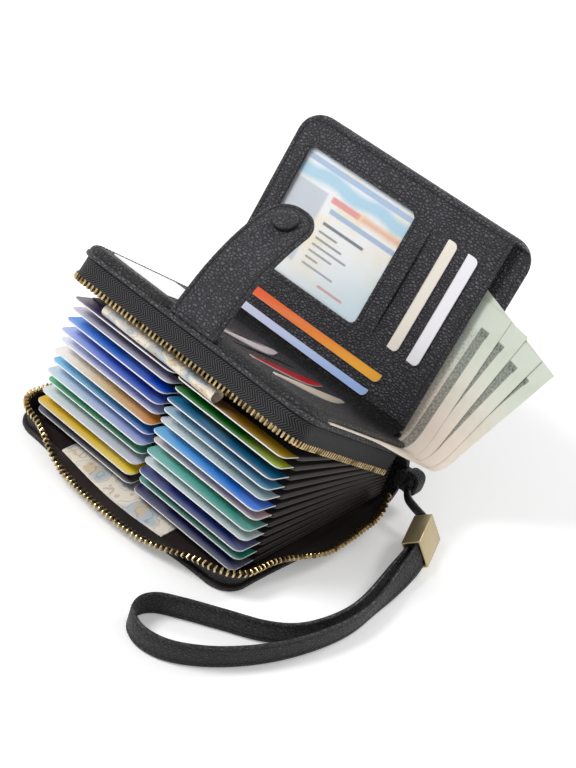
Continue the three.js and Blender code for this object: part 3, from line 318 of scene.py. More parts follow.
# %% Antique brass
def brass_finish(name, bright, tarnish, share, rough, brush=0.08, metal=1.0):
    made, tree, shader = new_finish(name)
    where = object_place(tree)
    aged = ranged(tree, noise(tree, where, 260.0, 5.0), 0.62 - share, 0.72)
    drawn = add(tree, "ShaderNodeMapping", {"Vector": where, "Scale": (1.0, 1.0, 14.0)}).outputs[0]
    fill(tree, shader, Base_Color=mixed(tree, aged, colour(bright), colour(tarnish)), Metallic=metal,
         Roughness=sums(tree, "MULTIPLY_ADD", aged, 0.22, rough),
         Normal=bumped(tree, brush, 0.0001, noise(tree, drawn, 900.0)))
    return made


TOOTH_BRASS = brass_finish("tooth_brass", "d8c08e", "5a4428", 0.2, 0.22)
SLEEVE_BRASS = brass_finish("sleeve_brass", "bfae86", "b7a474", 0.0, 0.36, 0.015, 0.72)
FITTING_BRASS = brass_finish("fitting_brass", "b99c62", "a38650", 0.0, 0.34, 0.03, 0.9)
print("brass finishes:", TOOTH_BRASS.name, SLEEVE_BRASS.name, FITTING_BRASS.name)

# %% [markdown]
# All the pieces are drawn in millimetres, each in the flat frame of the part it belongs to: X along the spine,
# -Y to the mouth, +Z outwards. A matrix then settles the finished mesh at its fold, in metres. These are the same
# frames as in the solid model.

# %% Frames and mesh helpers
MM = 0.001


def fold_frame(y, z, degrees):
    return Matrix.Translation((0, y * MM, z * MM)) @ Matrix.Rotation(math.radians(degrees), 4, "X")


FLOOR_FRAME = Matrix.Identity(4)
SPINE_Y, LID_FOLD_Z, LID_OPEN = 51, 25.17, 32
FLAP_FOLD_Y, FLAP_FOLD_Z, FLAP_OPEN = 2, 4.8, 79.5
BASE = fold_frame(SPINE_Y, 0, 0)
LID = fold_frame(SPINE_Y, LID_FOLD_Z, -LID_OPEN)
FLAP = LID @ fold_frame(FLAP_FOLD_Y, FLAP_FOLD_Z, -FLAP_OPEN)
ROW_COUNT, ROW_Y, ROW_LOW, ROW_PITCH, ROW_SHARE = 12, 50.6, 2.8, 1.76, 0.694
ROWS = [fold_frame(ROW_Y, ROW_LOW + ROW_PITCH * i, -LID_OPEN * ROW_SHARE * (i + 1) / ROW_COUNT)
        for i in range(ROW_COUNT)]
HALF_WIDTH, CASE_DEPTH, CORNER = 60, 102, 11
SIDE_RUN, HALF_FRONT = CASE_DEPTH - CORNER, HALF_WIDTH - CORNER
BOW_RIGHT, BOW_FRONT = 2, 4


def clear_selection():
    bpy.ops.object.select_all(action="DESELECT")


def pick(piece):
    clear_selection()
    piece.select_set(True)
    bpy.context.view_layer.objects.active = piece


def points(piece):
    co = np.empty(len(piece.data.vertices) * 3)
    piece.data.vertices.foreach_get("co", co)
    return co.reshape(-1, 3)


def set_points(piece, co):
    piece.data.vertices.foreach_set("co", np.asarray(co, float).ravel())
    piece.data.update()


def new_piece(name, corners, faces):
    mesh = bpy.data.meshes.new(name)
    mesh.from_pydata(corners.tolist(), [], faces)
    piece = bpy.data.objects.new(name, mesh)
    scene.collection.objects.link(piece)
    return piece


def edit_faces(piece, choose, work):
    pick(piece)
    bpy.ops.object.mode_set(mode="EDIT")
    bpy.ops.mesh.select_mode(type="FACE")
    bpy.ops.mesh.select_all(action="DESELECT")
    bpy.ops.object.mode_set(mode="OBJECT")
    for face in piece.data.polygons:
        face.select = bool(choose(face))
    bpy.ops.object.mode_set(mode="EDIT")
    work()
    bpy.ops.object.mode_set(mode="OBJECT")


def edit_all(piece, *steps):
    pick(piece)
    bpy.ops.object.mode_set(mode="EDIT")
    for step in steps:
        bpy.ops.mesh.select_all(action="SELECT")
        step()
    bpy.ops.object.mode_set(mode="OBJECT")


def face_outwards():
    bpy.ops.mesh.normals_make_consistent(inside=False)


def apply_modifier(piece, kind, **settings):
    pick(piece)
    modifier = piece.modifiers.new(kind.lower(), kind)
    for name, value in settings.items():
        setattr(modifier, name, value)
    bpy.ops.object.modifier_apply(modifier=modifier.name)


def set_attribute(piece, name, values):
    layer = piece.data.attributes.get(name) or piece.data.attributes.new(name, "FLOAT", "POINT")
    layer.data.foreach_set("value", np.asarray(values, dtype=np.float32))


def second_finish(piece, choose):
    marks = [1 if choose(face) else 0 for face in piece.data.polygons]
    piece.data.polygons.foreach_set("material_index", np.array(marks, dtype=np.int32))


def map_uv(piece, spot):
    layer = piece.data.uv_layers.active or piece.data.uv_layers.new(name="UVMap")
    for loop in piece.data.loops:
        layer.data[loop.index].uv = spot(loop.vertex_index)


def map_box(piece, x0, x1, y0, y1):
    co = points(piece)
    map_uv(piece, lambda v: ((co[v, 0] - x0) / (x1 - x0), (co[v, 1] - y0) / (y1 - y0)))


FAR_FROM_EDGE = 5.0


def finish(piece, place, finishes, body, stands_for=(), angle=38):
    piece.data.transform(place @ Matrix.Scale(MM, 4))
    if "edge" not in piece.data.attributes:
        set_attribute(piece, "edge", np.full(len(piece.data.vertices), FAR_FROM_EDGE))
    pick(piece)
    bpy.ops.object.shade_smooth_by_angle(angle=math.radians(angle))
    for made in finishes:
        piece.data.materials.append(made)
    if body:
        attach(piece, body)
    if stands_for:
        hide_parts(*stands_for)
    print(piece.name, len(piece.data.polygons), "faces on", body)
    return piece


print("frames ready, rows:", len(ROWS))

# %% [markdown]
# Long pieces such as the wrist band are lofted: a ring of points is carried along a line and each ring is joined
# to the next. The mesh's own UV map counts millimetres along and around it. The lines run smoothly through a few
# route points by a centripetal spline, the same one that the solid model uses.

# %% Lofts and smooth routes
def run_along(line):
    return np.concatenate([[0], np.cumsum(np.linalg.norm(np.diff(line, axis=0), axis=1))])


def on_line(want, runs, line):
    return np.array([np.interp(want, runs, line[:, k]) for k in range(3)]).T


def loft(name, rings, caps=True, closed=True):
    rings = np.asarray(rings, float)
    count, around, _ = rings.shape
    last = around if closed else around - 1
    faces = [(i * around + j, i * around + (j + 1) % around, (i + 1) * around + (j + 1) % around, (i + 1) * around + j)
             for i in range(count - 1) for j in range(last)]
    if caps and closed:
        faces += [tuple(range(around)), tuple((count - 1) * around + j for j in range(around))]
    piece = new_piece(name, rings.reshape(-1, 3), faces)
    mesh = piece.data
    runs, sides = run_along(rings.mean(1)), run_along(np.vstack([rings[0], rings[0][:1]]))
    layer = mesh.uv_layers.new(name="UVMap")
    for face in mesh.polygons:
        wraps = face.index < (count - 1) * last and face.index % last == around - 1
        for k in face.loop_indices:
            i, j = divmod(mesh.loops[k].vertex_index, around)
            layer.data[k].uv = (runs[i], sides[around if wraps and j == 0 else j])
    if closed:
        edit_all(piece, face_outwards)
    return piece


def smooth_route(corners, step):
    p = np.asarray(corners, float)
    p = np.vstack([2 * p[0] - p[1], p, 2 * p[-1] - p[-2]])
    line = []
    for a, b, c, d in zip(p[:-3], p[1:-2], p[2:-1], p[3:]):
        t = np.concatenate([[0], np.cumsum([np.linalg.norm(v - u) ** 0.5 for u, v in ((a, b), (b, c), (c, d))])])
        s = np.linspace(t[1], t[2], 40, endpoint=False)[:, None]
        ab, bc, cd = ((q * (v - s) + r * (s - u)) / (v - u) for q, r, u, v in
                      ((a, b, t[0], t[1]), (b, c, t[1], t[2]), (c, d, t[2], t[3])))
        abc = (ab * (t[2] - s) + bc * (s - t[0])) / (t[2] - t[0])
        bcd = (bc * (t[3] - s) + cd * (s - t[1])) / (t[3] - t[1])
        line.append((abc * (t[2] - s) + bcd * (s - t[1])) / (t[2] - t[1]))
    line = np.vstack(line + [p[-2:-1]])
    runs = run_along(line)
    want = np.linspace(0, runs[-1], max(2, round(runs[-1] / step) + 1))
    return on_line(want, runs, line), runs[-1]


def along(line):
    away = np.gradient(line, axis=0)
    return away / np.linalg.norm(away, axis=1)[:, None]


print("loft helpers ready")

# %% [markdown]
# The wrist strap comes first, because it is the loose part. It is a flat band that leaves the metal sleeve,
# lies in a long loop on its edge, and goes back into the sleeve. The sleeve has rolled a little to one side on the
# table, so the band turns with it at both ends. Its section has full faces, a pressed stitch groove near each edge
# and a rounded painted edge, and is carried along the route.

# %% Wrist band
TAB_HOLE = np.array([64.3, 55.6, 13.0])
SLEEVE_START = np.array([82.4, 44.9, 7.4])
SLEEVE_ALONG = np.array([0.36812, -0.92978, 0.0])
SLEEVE_SIDE = np.array([0.92978, 0.36812, 0.0])
SLEEVE_LENGTH = 20
BAND_HALF = 5.0
BAND_GROOVE = 3.35
SLEEVE_ROLL = math.radians(35)
ROLLED_SIDE = SLEEVE_SIDE * math.cos(SLEEVE_ROLL) + np.array([0, 0, math.sin(SLEEVE_ROLL)])
ROLLED_UP = np.array([0, 0, math.cos(SLEEVE_ROLL)]) - SLEEVE_SIDE * math.sin(SLEEVE_ROLL)


def sleeve_point(run, side):
    return SLEEVE_START + SLEEVE_ALONG * run + ROLLED_SIDE * side


BAND_ROUTE = [(32.5, -58.6), (34.3, -80.6), (30.3, -103.6), (22.5, -123.6), (12.2, -139.2), (1.7, -148.2),
              (-7.8, -150.2), (-15.1, -146.8), (-17.5, -140.6), (-15.5, -134.6), (-7.9, -128), (4.7, -119.2),
              (17.7, -110), (25.3, -100.1), (30.1, -80.2), (28.6, -59.2)]
band_corners = [sleeve_point(16, 1.85), sleeve_point(22, 1.85)]
band_corners += [(TAB_HOLE[0] + x, TAB_HOLE[1] + y, 5.3) for x, y in BAND_ROUTE]
band_corners += [sleeve_point(22, -1.85), sleeve_point(16, -1.85)]
band_line, band_length = smooth_route(band_corners, 1.3)
face = [(-4.78, 0.66), (-4.5, 0.84), (-4.0, 0.9), (-3.65, 0.86), (-BAND_GROOVE, 0.7), (-3.05, 0.86), (-2.4, 0.92),
        (-1.2, 0.98), (0, 1.0)]
face = face + [(-h, t) for h, t in face[-2::-1]]
band_section = [(-BAND_HALF, 0.3)] + face + [(BAND_HALF, 0.3)]
band_section = band_section + [(h, -t) for h, t in band_section[::-1]]


def band_axes(line):
    flat = along(line) * (1, 1, 0)
    flat = flat / np.linalg.norm(flat, axis=1)[:, None]
    side = np.column_stack([-flat[:, 1], flat[:, 0], np.zeros(len(flat))])
    share = np.linspace(0, 1, len(line))
    near = np.clip(1 - (np.minimum(share, 1 - share) - 0.03) / 0.12, 0, 1)
    lean = (SLEEVE_ROLL * near * near * (3 - 2 * near) * np.where(share < 0.5, 1, -1))[:, None]
    up = np.array([0, 0, 1.0])
    return side * np.cos(lean) + up * np.sin(lean), up * np.cos(lean) - side * np.sin(lean)


def band_rings(line):
    side, up = band_axes(line)
    section = np.array(band_section)
    return line[:, None, :] + side[:, None, :] * section[None, :, 1:] * 0.9 + up[:, None, :] * section[None, :, :1]


wrist_band = loft("wrist_band_leather", band_rings(band_line))
off_middle = np.array([abs(h) for h, _ in band_section])
set_attribute(wrist_band, "edge", np.tile(BAND_HALF - off_middle, len(band_line)))
second_finish(wrist_band, lambda face: np.mean([off_middle[v % len(off_middle)] for v in face.vertices]) > 4.7)
finish(wrist_band, FLOOR_FRAME, [BAND_LEATHER, EDGE_PAINT], "base", ["wrist_band"])
print("band length", round(band_length, 1), "mm")

# %% [markdown]
# Stitches are short plump threads. One is modelled from a six-sided cylinder whose ends are drawn in, and copies
# of its mesh are set along a seam line at an even pitch, each turned to follow the line and lie on the surface.

# %% Stitch and seam
THREAD, tree, shader = new_finish("waxed_thread")
twist = add(tree, "ShaderNodeTexWave", {"Vector": object_place(tree), "Scale": 900.0},
            bands_direction="DIAGONAL")
fill(tree, shader, Base_Color=mixed(tree, twist.outputs["Fac"], colour("0d0c0d"), colour("2c2a2c")), Roughness=0.5)

clear_selection()
bpy.ops.mesh.primitive_cylinder_add(vertices=6, radius=0.26, depth=1.5, rotation=(0, math.pi / 2, 0))
stitch = bpy.context.object
bpy.ops.object.transform_apply(location=False, rotation=True, scale=False)


def draw_end(side):
    bpy.ops.mesh.extrude_region_move(TRANSFORM_OT_translate={"value": (0.22 * side, 0, -0.1)})
    bpy.ops.transform.resize(value=(1, 0.45, 0.45))


for side in (-1, 1):
    edit_faces(stitch, lambda face: face.normal.x * side > 0.9, lambda: draw_end(side))
stitch_points = points(stitch)
stitch_faces = [tuple(face.vertices) for face in stitch.data.polygons]
bpy.data.objects.remove(stitch)


def copies(name, template_points, template_faces, spots):
    turned = [template_points @ np.asarray(axes, float) + spot for axes, spot in spots]
    count = len(template_points)
    faces = [tuple(v + k * count for v in face) for k in range(len(spots)) for face in template_faces]
    return new_piece(name, np.vstack(turned), faces)


def seam(name, lines, place, body, pitch=2.5, gap_end=1.0):
    spots = []
    for line, up in lines:
        line, up = np.asarray(line, float), np.broadcast_to(np.asarray(up, float), np.shape(line))
        runs = run_along(line)
        count = max(1, int((runs[-1] - 2 * gap_end) / pitch))
        for want in (np.arange(count) + 0.5) * (runs[-1] - 2 * gap_end) / count + gap_end:
            at, n = on_line(want, runs, line), on_line(want, runs, up)
            t = on_line(want + 0.4, runs, line) - on_line(want - 0.4, runs, line)
            t = t / np.linalg.norm(t)
            n = n - t * (n @ t)
            n = n / np.linalg.norm(n)
            spots.append(((t, np.cross(n, t), n), at))
    return finish(copies(name, stitch_points, stitch_faces, spots), place, [THREAD], body, angle=60)


print("stitch faces:", len(stitch_faces))

# %% [markdown]
# The band is sewn along both edges on both faces, down in the pressed groove.

# %% Wrist band stitching
section_half = 0.9 * 0.78
band_side, band_up = band_axes(band_line)
shown = slice(4, -4)
band_lines = []
for face_side in (1, -1):
    for edge_side in (1, -1):
        line = band_line + band_side * section_half * face_side + band_up * BAND_GROOVE * edge_side
        band_lines.append((line[shown], (band_side * face_side)[shown]))
band_seam = seam("wrist_band_stitching", band_lines, FLOOR_FRAME, "base", 2.4)

# %% [markdown]
# The neck is a thin round leather tie between the loop at the spine's end and the metal sleeve. It is a lofted
# tube with a soft twist in its section, so that it looks rolled rather than drawn.

# %% Neck
neck_corners = [TAB_HOLE + np.array(p) for p in
                ((0.4, -1, 0), (1.2, -4.6, -1.2), (4.2, -7.6, -2.4), (9, -8.8, -3.2), (14, -9, -4.2))]
neck_corners += [sleeve_point(-1, 0), sleeve_point(4, 0)]
neck_line, neck_length = smooth_route(neck_corners, 0.6)


TUBE_SIDES = 14


def tube_rings(line, radius, squeeze=0.0, twist=0.0):
    away = along(line)
    rings = []
    for i, (at, t) in enumerate(zip(line, away)):
        a = np.cross(t, (0, 0, 1.0)) if abs(t[2]) < 0.95 else np.cross(t, (1.0, 0, 0))
        a = a / np.linalg.norm(a)
        b = np.cross(t, a)
        angle = np.linspace(0, 2 * math.pi, TUBE_SIDES, endpoint=False)
        r = radius * (1 - squeeze * np.cos(angle * 2 + twist * i))
        rings.append(at + np.outer(np.cos(angle) * r, a) + np.outer(np.sin(angle) * r, b))
    return rings


wrist_neck = loft("wrist_neck_leather", tube_rings(neck_line, 1.55, 0.14, 0.06))
finish(wrist_neck, FLOOR_FRAME, [EDGE_PAINT], "base", ["wrist_neck"])
print("neck length", round(neck_length, 1), "mm")

# %% [markdown]
# The sleeve is a flattened metal tube that grips the band's two ends. A cube is stretched to its size, its edges
# are bevelled so that they catch the light, and its mouth is inset and pushed in. The band fills the mouth, so its
# bottom takes the leather's painted edge.

# %% Sleeve
clear_selection()
bpy.ops.mesh.primitive_cube_add(size=1, location=(0, 0, SLEEVE_LENGTH / 2))
wrist_sleeve = bpy.context.object
wrist_sleeve.name = wrist_sleeve.data.name = "wrist_sleeve_brass"
wrist_sleeve.scale = (7.9, 12.4, SLEEVE_LENGTH)
bpy.ops.object.transform_apply(location=True, rotation=False, scale=True)


def open_mouth():
    bpy.ops.mesh.inset(thickness=0.95)
    bpy.ops.mesh.extrude_region_move(TRANSFORM_OT_translate={"value": (0, 0, -1.2)})


edit_faces(wrist_sleeve, lambda face: face.normal.z > 0.9, open_mouth)
apply_modifier(wrist_sleeve, "BEVEL", width=0.4, segments=3, limit_method="ANGLE")
sleeve_axes = Matrix([tuple(axis) for axis in (ROLLED_SIDE, ROLLED_UP, SLEEVE_ALONG)]).transposed()
sleeve_place = Matrix.Translation(Vector(SLEEVE_START * MM)) @ sleeve_axes.to_4x4()
second_finish(wrist_sleeve, lambda face: face.normal.z > 0.9 and face.center.z < SLEEVE_LENGTH - 0.5)
finish(wrist_sleeve, sleeve_place, [SLEEVE_BRASS, EDGE_PAINT], "base", ["wrist_sleeve"], 30)

# %% [markdown]
# The loop at the spine's end is a short, wide leather strip folded on itself. Its section is carried round a rounded
# square, and closes on itself. The neck is knotted into it, and the knot bulges out of the loop on both sides.

# %% Loop and knot at the spine's end
turn = np.linspace(0, 2 * math.pi, 49)
loop_line = np.column_stack([3.0 * np.sign(np.cos(turn)) * np.abs(np.cos(turn)) ** 0.62, np.zeros(49),
                             4.5 * np.sign(np.sin(turn)) * np.abs(np.sin(turn)) ** 0.62]) + TAB_HOLE
loop_out = along(loop_line)
loop_out = np.column_stack([-loop_out[:, 2], np.zeros(49), loop_out[:, 0]]) * -1
strip_section = [(-2.95, 0.25), (-2.7, 0.75), (-2.1, 0.95), (0, 1.0), (2.1, 0.95), (2.7, 0.75), (2.95, 0.25),
                 (2.95, -0.25), (2.7, -0.75), (2.1, -0.9), (0, -0.95), (-2.1, -0.9), (-2.7, -0.75), (-2.95, -0.25)]
rings = [at + np.array([[n[0] * t, w, n[2] * t] for w, t in strip_section]) for at, n in zip(loop_line, loop_out)]
rings[-1] = rings[0]
wrist_loop = loft("wrist_loop_leather", rings, caps=False)
edit_all(wrist_loop, lambda: bpy.ops.mesh.remove_doubles(threshold=0.001), face_outwards)
finish(wrist_loop, FLOOR_FRAME, [BAND_LEATHER], "base", ["wrist_tab"])
anchor_section = [(w * 2.6, h * 4.6) for w, h in ((-1, -0.8), (-0.8, -1), (0.8, -1), (1, -0.8),
                                                  (1, 0.8), (0.8, 1), (-0.8, 1), (-1, 0.8))]
rings = [[(x, TAB_HOLE[1] - 1.2 + w * size, TAB_HOLE[2] + h * size) for w, h in anchor_section]
         for x, size in ((57.5, 0.9), (59, 1.0), (62, 1.0), (64.4, 0.92), (65.2, 0.7))]
finish(loft("wrist_anchor_leather", rings), FLOOR_FRAME, [BAND_LEATHER], "base", angle=60)
turn = np.linspace(0, 2 * math.pi, 24, endpoint=False)
rings = []
for out, size in ((-5.0, 0.3), (-4.7, 0.62), (-4.0, 0.86), (-3.0, 1.0), (0, 1.0), (2.6, 0.95), (3.4, 0.8), (3.9, 0.45)):
    wave = 1 + 0.09 * np.cos(3 * turn + out)
    rings.append(np.column_stack(
        [2.15 * size * wave * np.cos(turn), np.full(24, out), 3.7 * size * wave * np.sin(turn)]) + TAB_HOLE)
wrist_knot = loft("wrist_knot_leather", rings)
finish(wrist_knot, FLOOR_FRAME, [BAND_LEATHER], "base", angle=60)

# %% [markdown]

# %% [markdown]
# Panels are flat grids with more lines near the edges. The grid's corner squares are pressed onto round corners,
# Solidify gives the panel two faces, and each face then takes its height from the distance to the edge: a rolled
# rim, a stitch groove, a little fullness in the middle.

# %% Panel helpers
EDGE_LINES = np.array([0, 0.15, 0.4, 0.75, 1.2, 1.7, 2.1, 2.5, 2.9, 3.6])


def close_lines(low, high, step, also=()):
    low_side, high_side = low + EDGE_LINES, high - EDGE_LINES[::-1]
    middle = np.linspace(low_side[-1], high_side[0], max(2, round((high - low - 7.2) / step)) + 1)[1:-1]
    free = middle[[all(abs(m - a) > 0.2 * step for a in also) for m in middle]] if len(also) else middle
    return np.unique(np.round(np.concatenate([low_side, free, high_side, also]), 4))


def grid_sheet(name, xs, ys):
    clear_selection()
    bpy.ops.mesh.primitive_grid_add(x_subdivisions=len(xs) - 1, y_subdivisions=len(ys) - 1, size=2)
    piece = bpy.context.object
    piece.name = piece.data.name = name
    co = points(piece)
    for axis, lines in ((0, xs), (1, ys)):
        _, index = np.unique(np.round(co[:, axis], 5), return_inverse=True)
        co[:, axis] = np.asarray(lines)[index]
    set_points(piece, co)
    return piece


def corner_squares(x, y, box, radii):
    x0, x1, y0, y1 = box
    for sx, sy, r in zip((-1, 1, 1, -1), (-1, -1, 1, 1), radii):
        if r > 0:
            cx, cy = (x1 - r if sx > 0 else x0 + r), (y1 - r if sy > 0 else y0 + r)
            a, b = (x - cx) * sx / r, (y - cy) * sy / r
            yield cx, cy, sx, sy, r, a, b, (a > 0) & (b > 0)


def rounded(x, y, box, radii):
    new_x, new_y = x.copy(), y.copy()
    for cx, cy, sx, sy, r, a, b, inside in corner_squares(x, y, box, radii):
        a, b = np.clip(a, -1, 1), np.clip(b, -1, 1)
        new_x[inside] = (cx + sx * r * a * np.sqrt(1 - b * b / 2))[inside]
        new_y[inside] = (cy + sy * r * b * np.sqrt(1 - a * a / 2))[inside]
    return new_x, new_y


def edge_distance(x, y, box, radii):
    x0, x1, y0, y1 = box
    d = np.minimum(np.minimum(x - x0, x1 - x), np.minimum(y - y0, y1 - y))
    for _, _, _, _, r, a, b, inside in corner_squares(x, y, box, radii):
        d = np.where(inside, r * (1 - np.hypot(a, b)), d)
    return d


def roll(d, r):
    u = 1 - np.clip(d / r, 0, 1)
    return 0.3 + 0.7 * np.sqrt(1 - u * u)


def groove(d, at, depth, width=0.55):
    return -depth * np.exp(-((d - at) / width) ** 2)


def panel(name, box, radii, step, top, bottom, also_x=(), also_y=(), hole=None, hole_radius=3.0, bow=None):
    xs, ys = close_lines(box[0], box[1], step, also_x), close_lines(box[2], box[3], step, also_y)
    piece = grid_sheet(name, xs, ys)
    if hole is not None:
        edit_faces(piece, lambda face: hole[0] < face.center.x < hole[1] and hole[2] < face.center.y < hole[3],
                   lambda: bpy.ops.mesh.delete(type="FACE"))
    apply_modifier(piece, "SOLIDIFY", thickness=1.0, offset=0.0)
    co = points(piece)
    x, y = rounded(co[:, 0], co[:, 1], box, radii)
    d = edge_distance(x, y, box, radii)
    if hole is not None:
        rim = (np.minimum(np.minimum(x - hole[0], hole[1] - x), np.minimum(y - hole[2], hole[3] - y)) > -0.001)
        hx, hy = rounded(x, y, hole, [hole_radius] * 4)
        x, y = np.where(rim, hx, x), np.where(rim, hy, y)
        d = np.minimum(d, np.maximum(-edge_distance(x, y, hole, [hole_radius] * 4), 0))
    z = np.where(co[:, 2] > 0, top(x, y, d), bottom(x, y, d))
    if bow is not None:
        x, y = bow(x, y)
    set_points(piece, np.column_stack([x, y, z]))
    set_attribute(piece, "edge", d)
    return piece


# Marks the seam groove in the 'seam' attribute, where the leather finish paints shade.
def paint_seam_shade(piece, inset, width=0.5):
    edge = np.empty(len(piece.data.vertices), dtype=np.float32)
    piece.data.attributes["edge"].data.foreach_get("value", edge)
    set_attribute(piece, "seam", np.clip(1 - np.abs(edge - inset) / width, 0, 1))


print("panel helpers ready")

# %% [markdown]
# The base is the leather panel that the wallet lies on. Its mouth edge bows out a little where the zip leans
# over, its edge is rolled, and its inner side is lined in brown.

# %% Base
def swell(run, length):
    return np.sin(math.pi * np.clip(run / length, 0, 1)) ** 2


def base_bow(x, y):
    front = np.clip(-(y + 60) / 42, 0, 1) ** 2
    right = np.clip((x - 20) / 40, 0, 1) ** 2
    return (x + BOW_RIGHT * swell(y + SIDE_RUN, SIDE_RUN) * right,
            y - BOW_FRONT * swell(x + HALF_FRONT, 2 * HALF_FRONT) * front)


CASE_BOX = (-HALF_WIDTH, HALF_WIDTH, -CASE_DEPTH, 0.4)
CASE_RADII = (11, 11, 1.5, 1.5)
base = panel("base_leather", CASE_BOX, CASE_RADII, 3.0,
             lambda x, y, d: 1.2 + 1.2 * roll(d, 1.3),
             lambda x, y, d: 1.2 - 1.2 * roll(d, 1.3), bow=base_bow)
second_finish(base, lambda face: face.normal.z > 0.6)
finish(base, BASE, [SHADED_LEATHER, LINING], "base", ["base_panel"])

# %% [markdown]
# The spine bows out at the back and ends in the rolled edge that the lid folds on. One section, drawn in the
# Y-Z plane, is carried along the spine: up the outer arc, round the roll, and down the inner arc.

# %% Spine
SPINE_MID, SPINE_RADIUS, SPINE_CENTRE, SPINE_REACH = 13.185, 17.913, -13.313, math.radians(41.99)


def spine_section():
    swing = np.linspace(-SPINE_REACH, SPINE_REACH, 26)
    outer, inner = ([(SPINE_CENTRE + r * math.cos(a), SPINE_MID + r * math.sin(a)) for a in swing]
                    for r in (SPINE_RADIUS + 1, SPINE_RADIUS - 1))
    bead = [(1.5 * math.cos(a), LID_FOLD_Z + 1.5 * math.sin(a)) for a in np.radians(np.linspace(20, 235, 12))]
    foot = [(-0.9, 0.9), (-0.1, 0.5)]
    return np.array(foot + outer[:-1] + bead + inner[-2::-1])


def bars_along_x(name, section, xs):
    rings = []
    middle = section.mean(0)
    for x in xs:
        end = min(x - xs[0], xs[-1] - x)
        shrink = 1 - 0.03 * (1 - roll(np.array([end]), 0.9)[0])
        rings.append([(x, *(middle + (p - middle) * shrink)) for p in section])
    return loft(name, rings)


spine_xs = close_lines(-60, 60, 4)
spine = bars_along_x("spine_leather", spine_section(), spine_xs)
finish(spine, BASE, [SHADED_LEATHER], "base", ["spine_cover"], 50)

# %% [markdown]
# The lid is the upper panel of the case. It has the same outline as the base, rolled edges, and a brown lined
# underside that looks down on the cards.

# %% Lid
LID_BOX = (-HALF_WIDTH, HALF_WIDTH, -CASE_DEPTH, -1.85)
LID_RADII = (11, 11, 1, 1)
lid = panel("lid_leather", LID_BOX, LID_RADII, 3.0,
            lambda x, y, d: 1.35 * roll(d, 1.35) - 0.1, lambda x, y, d: -1.2 * roll(d, 1.3))
second_finish(lid, lambda face: face.normal.z < -0.6)
finish(lid, LID, [LEATHER, LINING], "lid", ["lid_panel"])

# %% [markdown]
# Behind the lid a narrow leather wall rises to the roll that the flap folds on. It is one section along X, like
# the spine.

# %% Flap roll on the lid
roll_bead = [(FLAP_FOLD_Y + 1.2 * math.cos(a), FLAP_FOLD_Z + 1.2 * math.sin(a))
             for a in np.radians(np.linspace(-60, 190, 16))]
roll_section = np.array([(-3.6, 0.9), (-1.9, 0.9), (-0.7, 1.4), (0.8, 2.6)] + roll_bead + [(0.2, 3.9), (-1.6, 2.4)])
flap_roll = bars_along_x("flap_roll_leather", roll_section, close_lines(-59, 51.5, 4))
finish(flap_roll, LID, [SHADED_LEATHER], "lid", angle=50)

# %% [markdown]
# The pocket on the lid's top is sewn down along its left and front sides, where its edge rolls down to the lid, and
# is open on the right for notes. Card slots are cuts in the leather whose lip bulges over the card. The relief is the
# same everywhere: the lip rises towards the cut, and past the cut the leather drops into a shallow well. It fades out
# at both ends of the cut, which gives the lens shape.

# %% Slot relief
def slot_relief(past, along_cut, start, end, rise, drop, reach=2.2):
    t = np.clip((along_cut - start) / (end - start), 0, 1)
    lens = np.sin(math.pi * t) ** 0.55
    lip = rise * np.exp(-(np.minimum(past, 0) / reach) ** 2)
    well = -drop * np.exp(-np.maximum(past, 0) / reach)
    return lens * np.where(past < 0, lip, well)


def slot_lines(at, turned=1):
    return [at + turned * s for s in (-4.5, -3, -2, -1.2, -0.6, -0.2, -0.02, 0.02, 0.25, 0.7, 1.3, 2.2, 3.4, 5)]


LID_SLOTS = ((-20, 0.9, -1, -96, -31), (-4, 0.95, 1, -84, -24), (8, 0.5, 1, -84, -24),
             (20, 0.5, 1, -84, -24), (32, 0.35, 1, -84, -24))
POCKET_BOX = (-59.4, 59, -101.4, -4.5)
POCKET_RADII = (10.4, 10.4, 3, 3)


def pocket_rim(x, y):
    shut = edge_distance(x, y, (-59.4, 260, -101.4, 200), (10.4, 0, 0, 0))
    corner = edge_distance(x, y, (-59.4, 59, -101.4, 200), (10.4, 10.4, 0, 0))
    front = np.clip((-78 - y) / 12, 0, 1)
    return np.clip(shut, 0, 2.6) * (1 - front) + np.clip(corner, 0, 2.6) * front


def pocket_top(x, y, d):
    u = 1 - pocket_rim(x, y) / 2.6
    z = 4.1 - np.maximum(2.75 * (1 - np.sqrt(1 - u * u)), 0.9 * (1 - roll(d, 0.9))) + groove(d, 2.5, 0.22)
    for at, rise, side, start, end in LID_SLOTS:
        z = z + slot_relief((x - at) * side, y, start, end, rise, 0.12, 2.6)
    return z


def pocket_low(x, y, d):
    turned = np.clip((2.6 - pocket_rim(x, y)) / 0.5, 0, 1)
    return (3.0 - 0.7 * roll(d, 0.9)) * (1 - turned) + 1.15 * turned


def pocket_bow(x, y):
    return x, y + 2.3 * np.exp(-(x / 13.5) ** 6) * np.clip((-90 - y) / 10, 0, 1)


pocket_x = sorted(set(np.round([v for slot in LID_SLOTS for v in slot_lines(slot[0], slot[2])], 3)))
pocket_y = list(np.arange(-84, -23, 2.5))
lid_pocket = panel("lid_pocket_leather", POCKET_BOX, POCKET_RADII, 3.0, pocket_top, pocket_low, pocket_x, pocket_y,
                   bow=pocket_bow)
paint_seam_shade(lid_pocket, 2.5)
finish(lid_pocket, LID, [SHADED_POCKET_LEATHER], "lid", ["lid_slot_panel"])

# %% [markdown]
# A seam runs round the pocket panel. This helper walks along a panel's outline at a set distance from the edge,
# down the left side, along the mouth and up the right side.

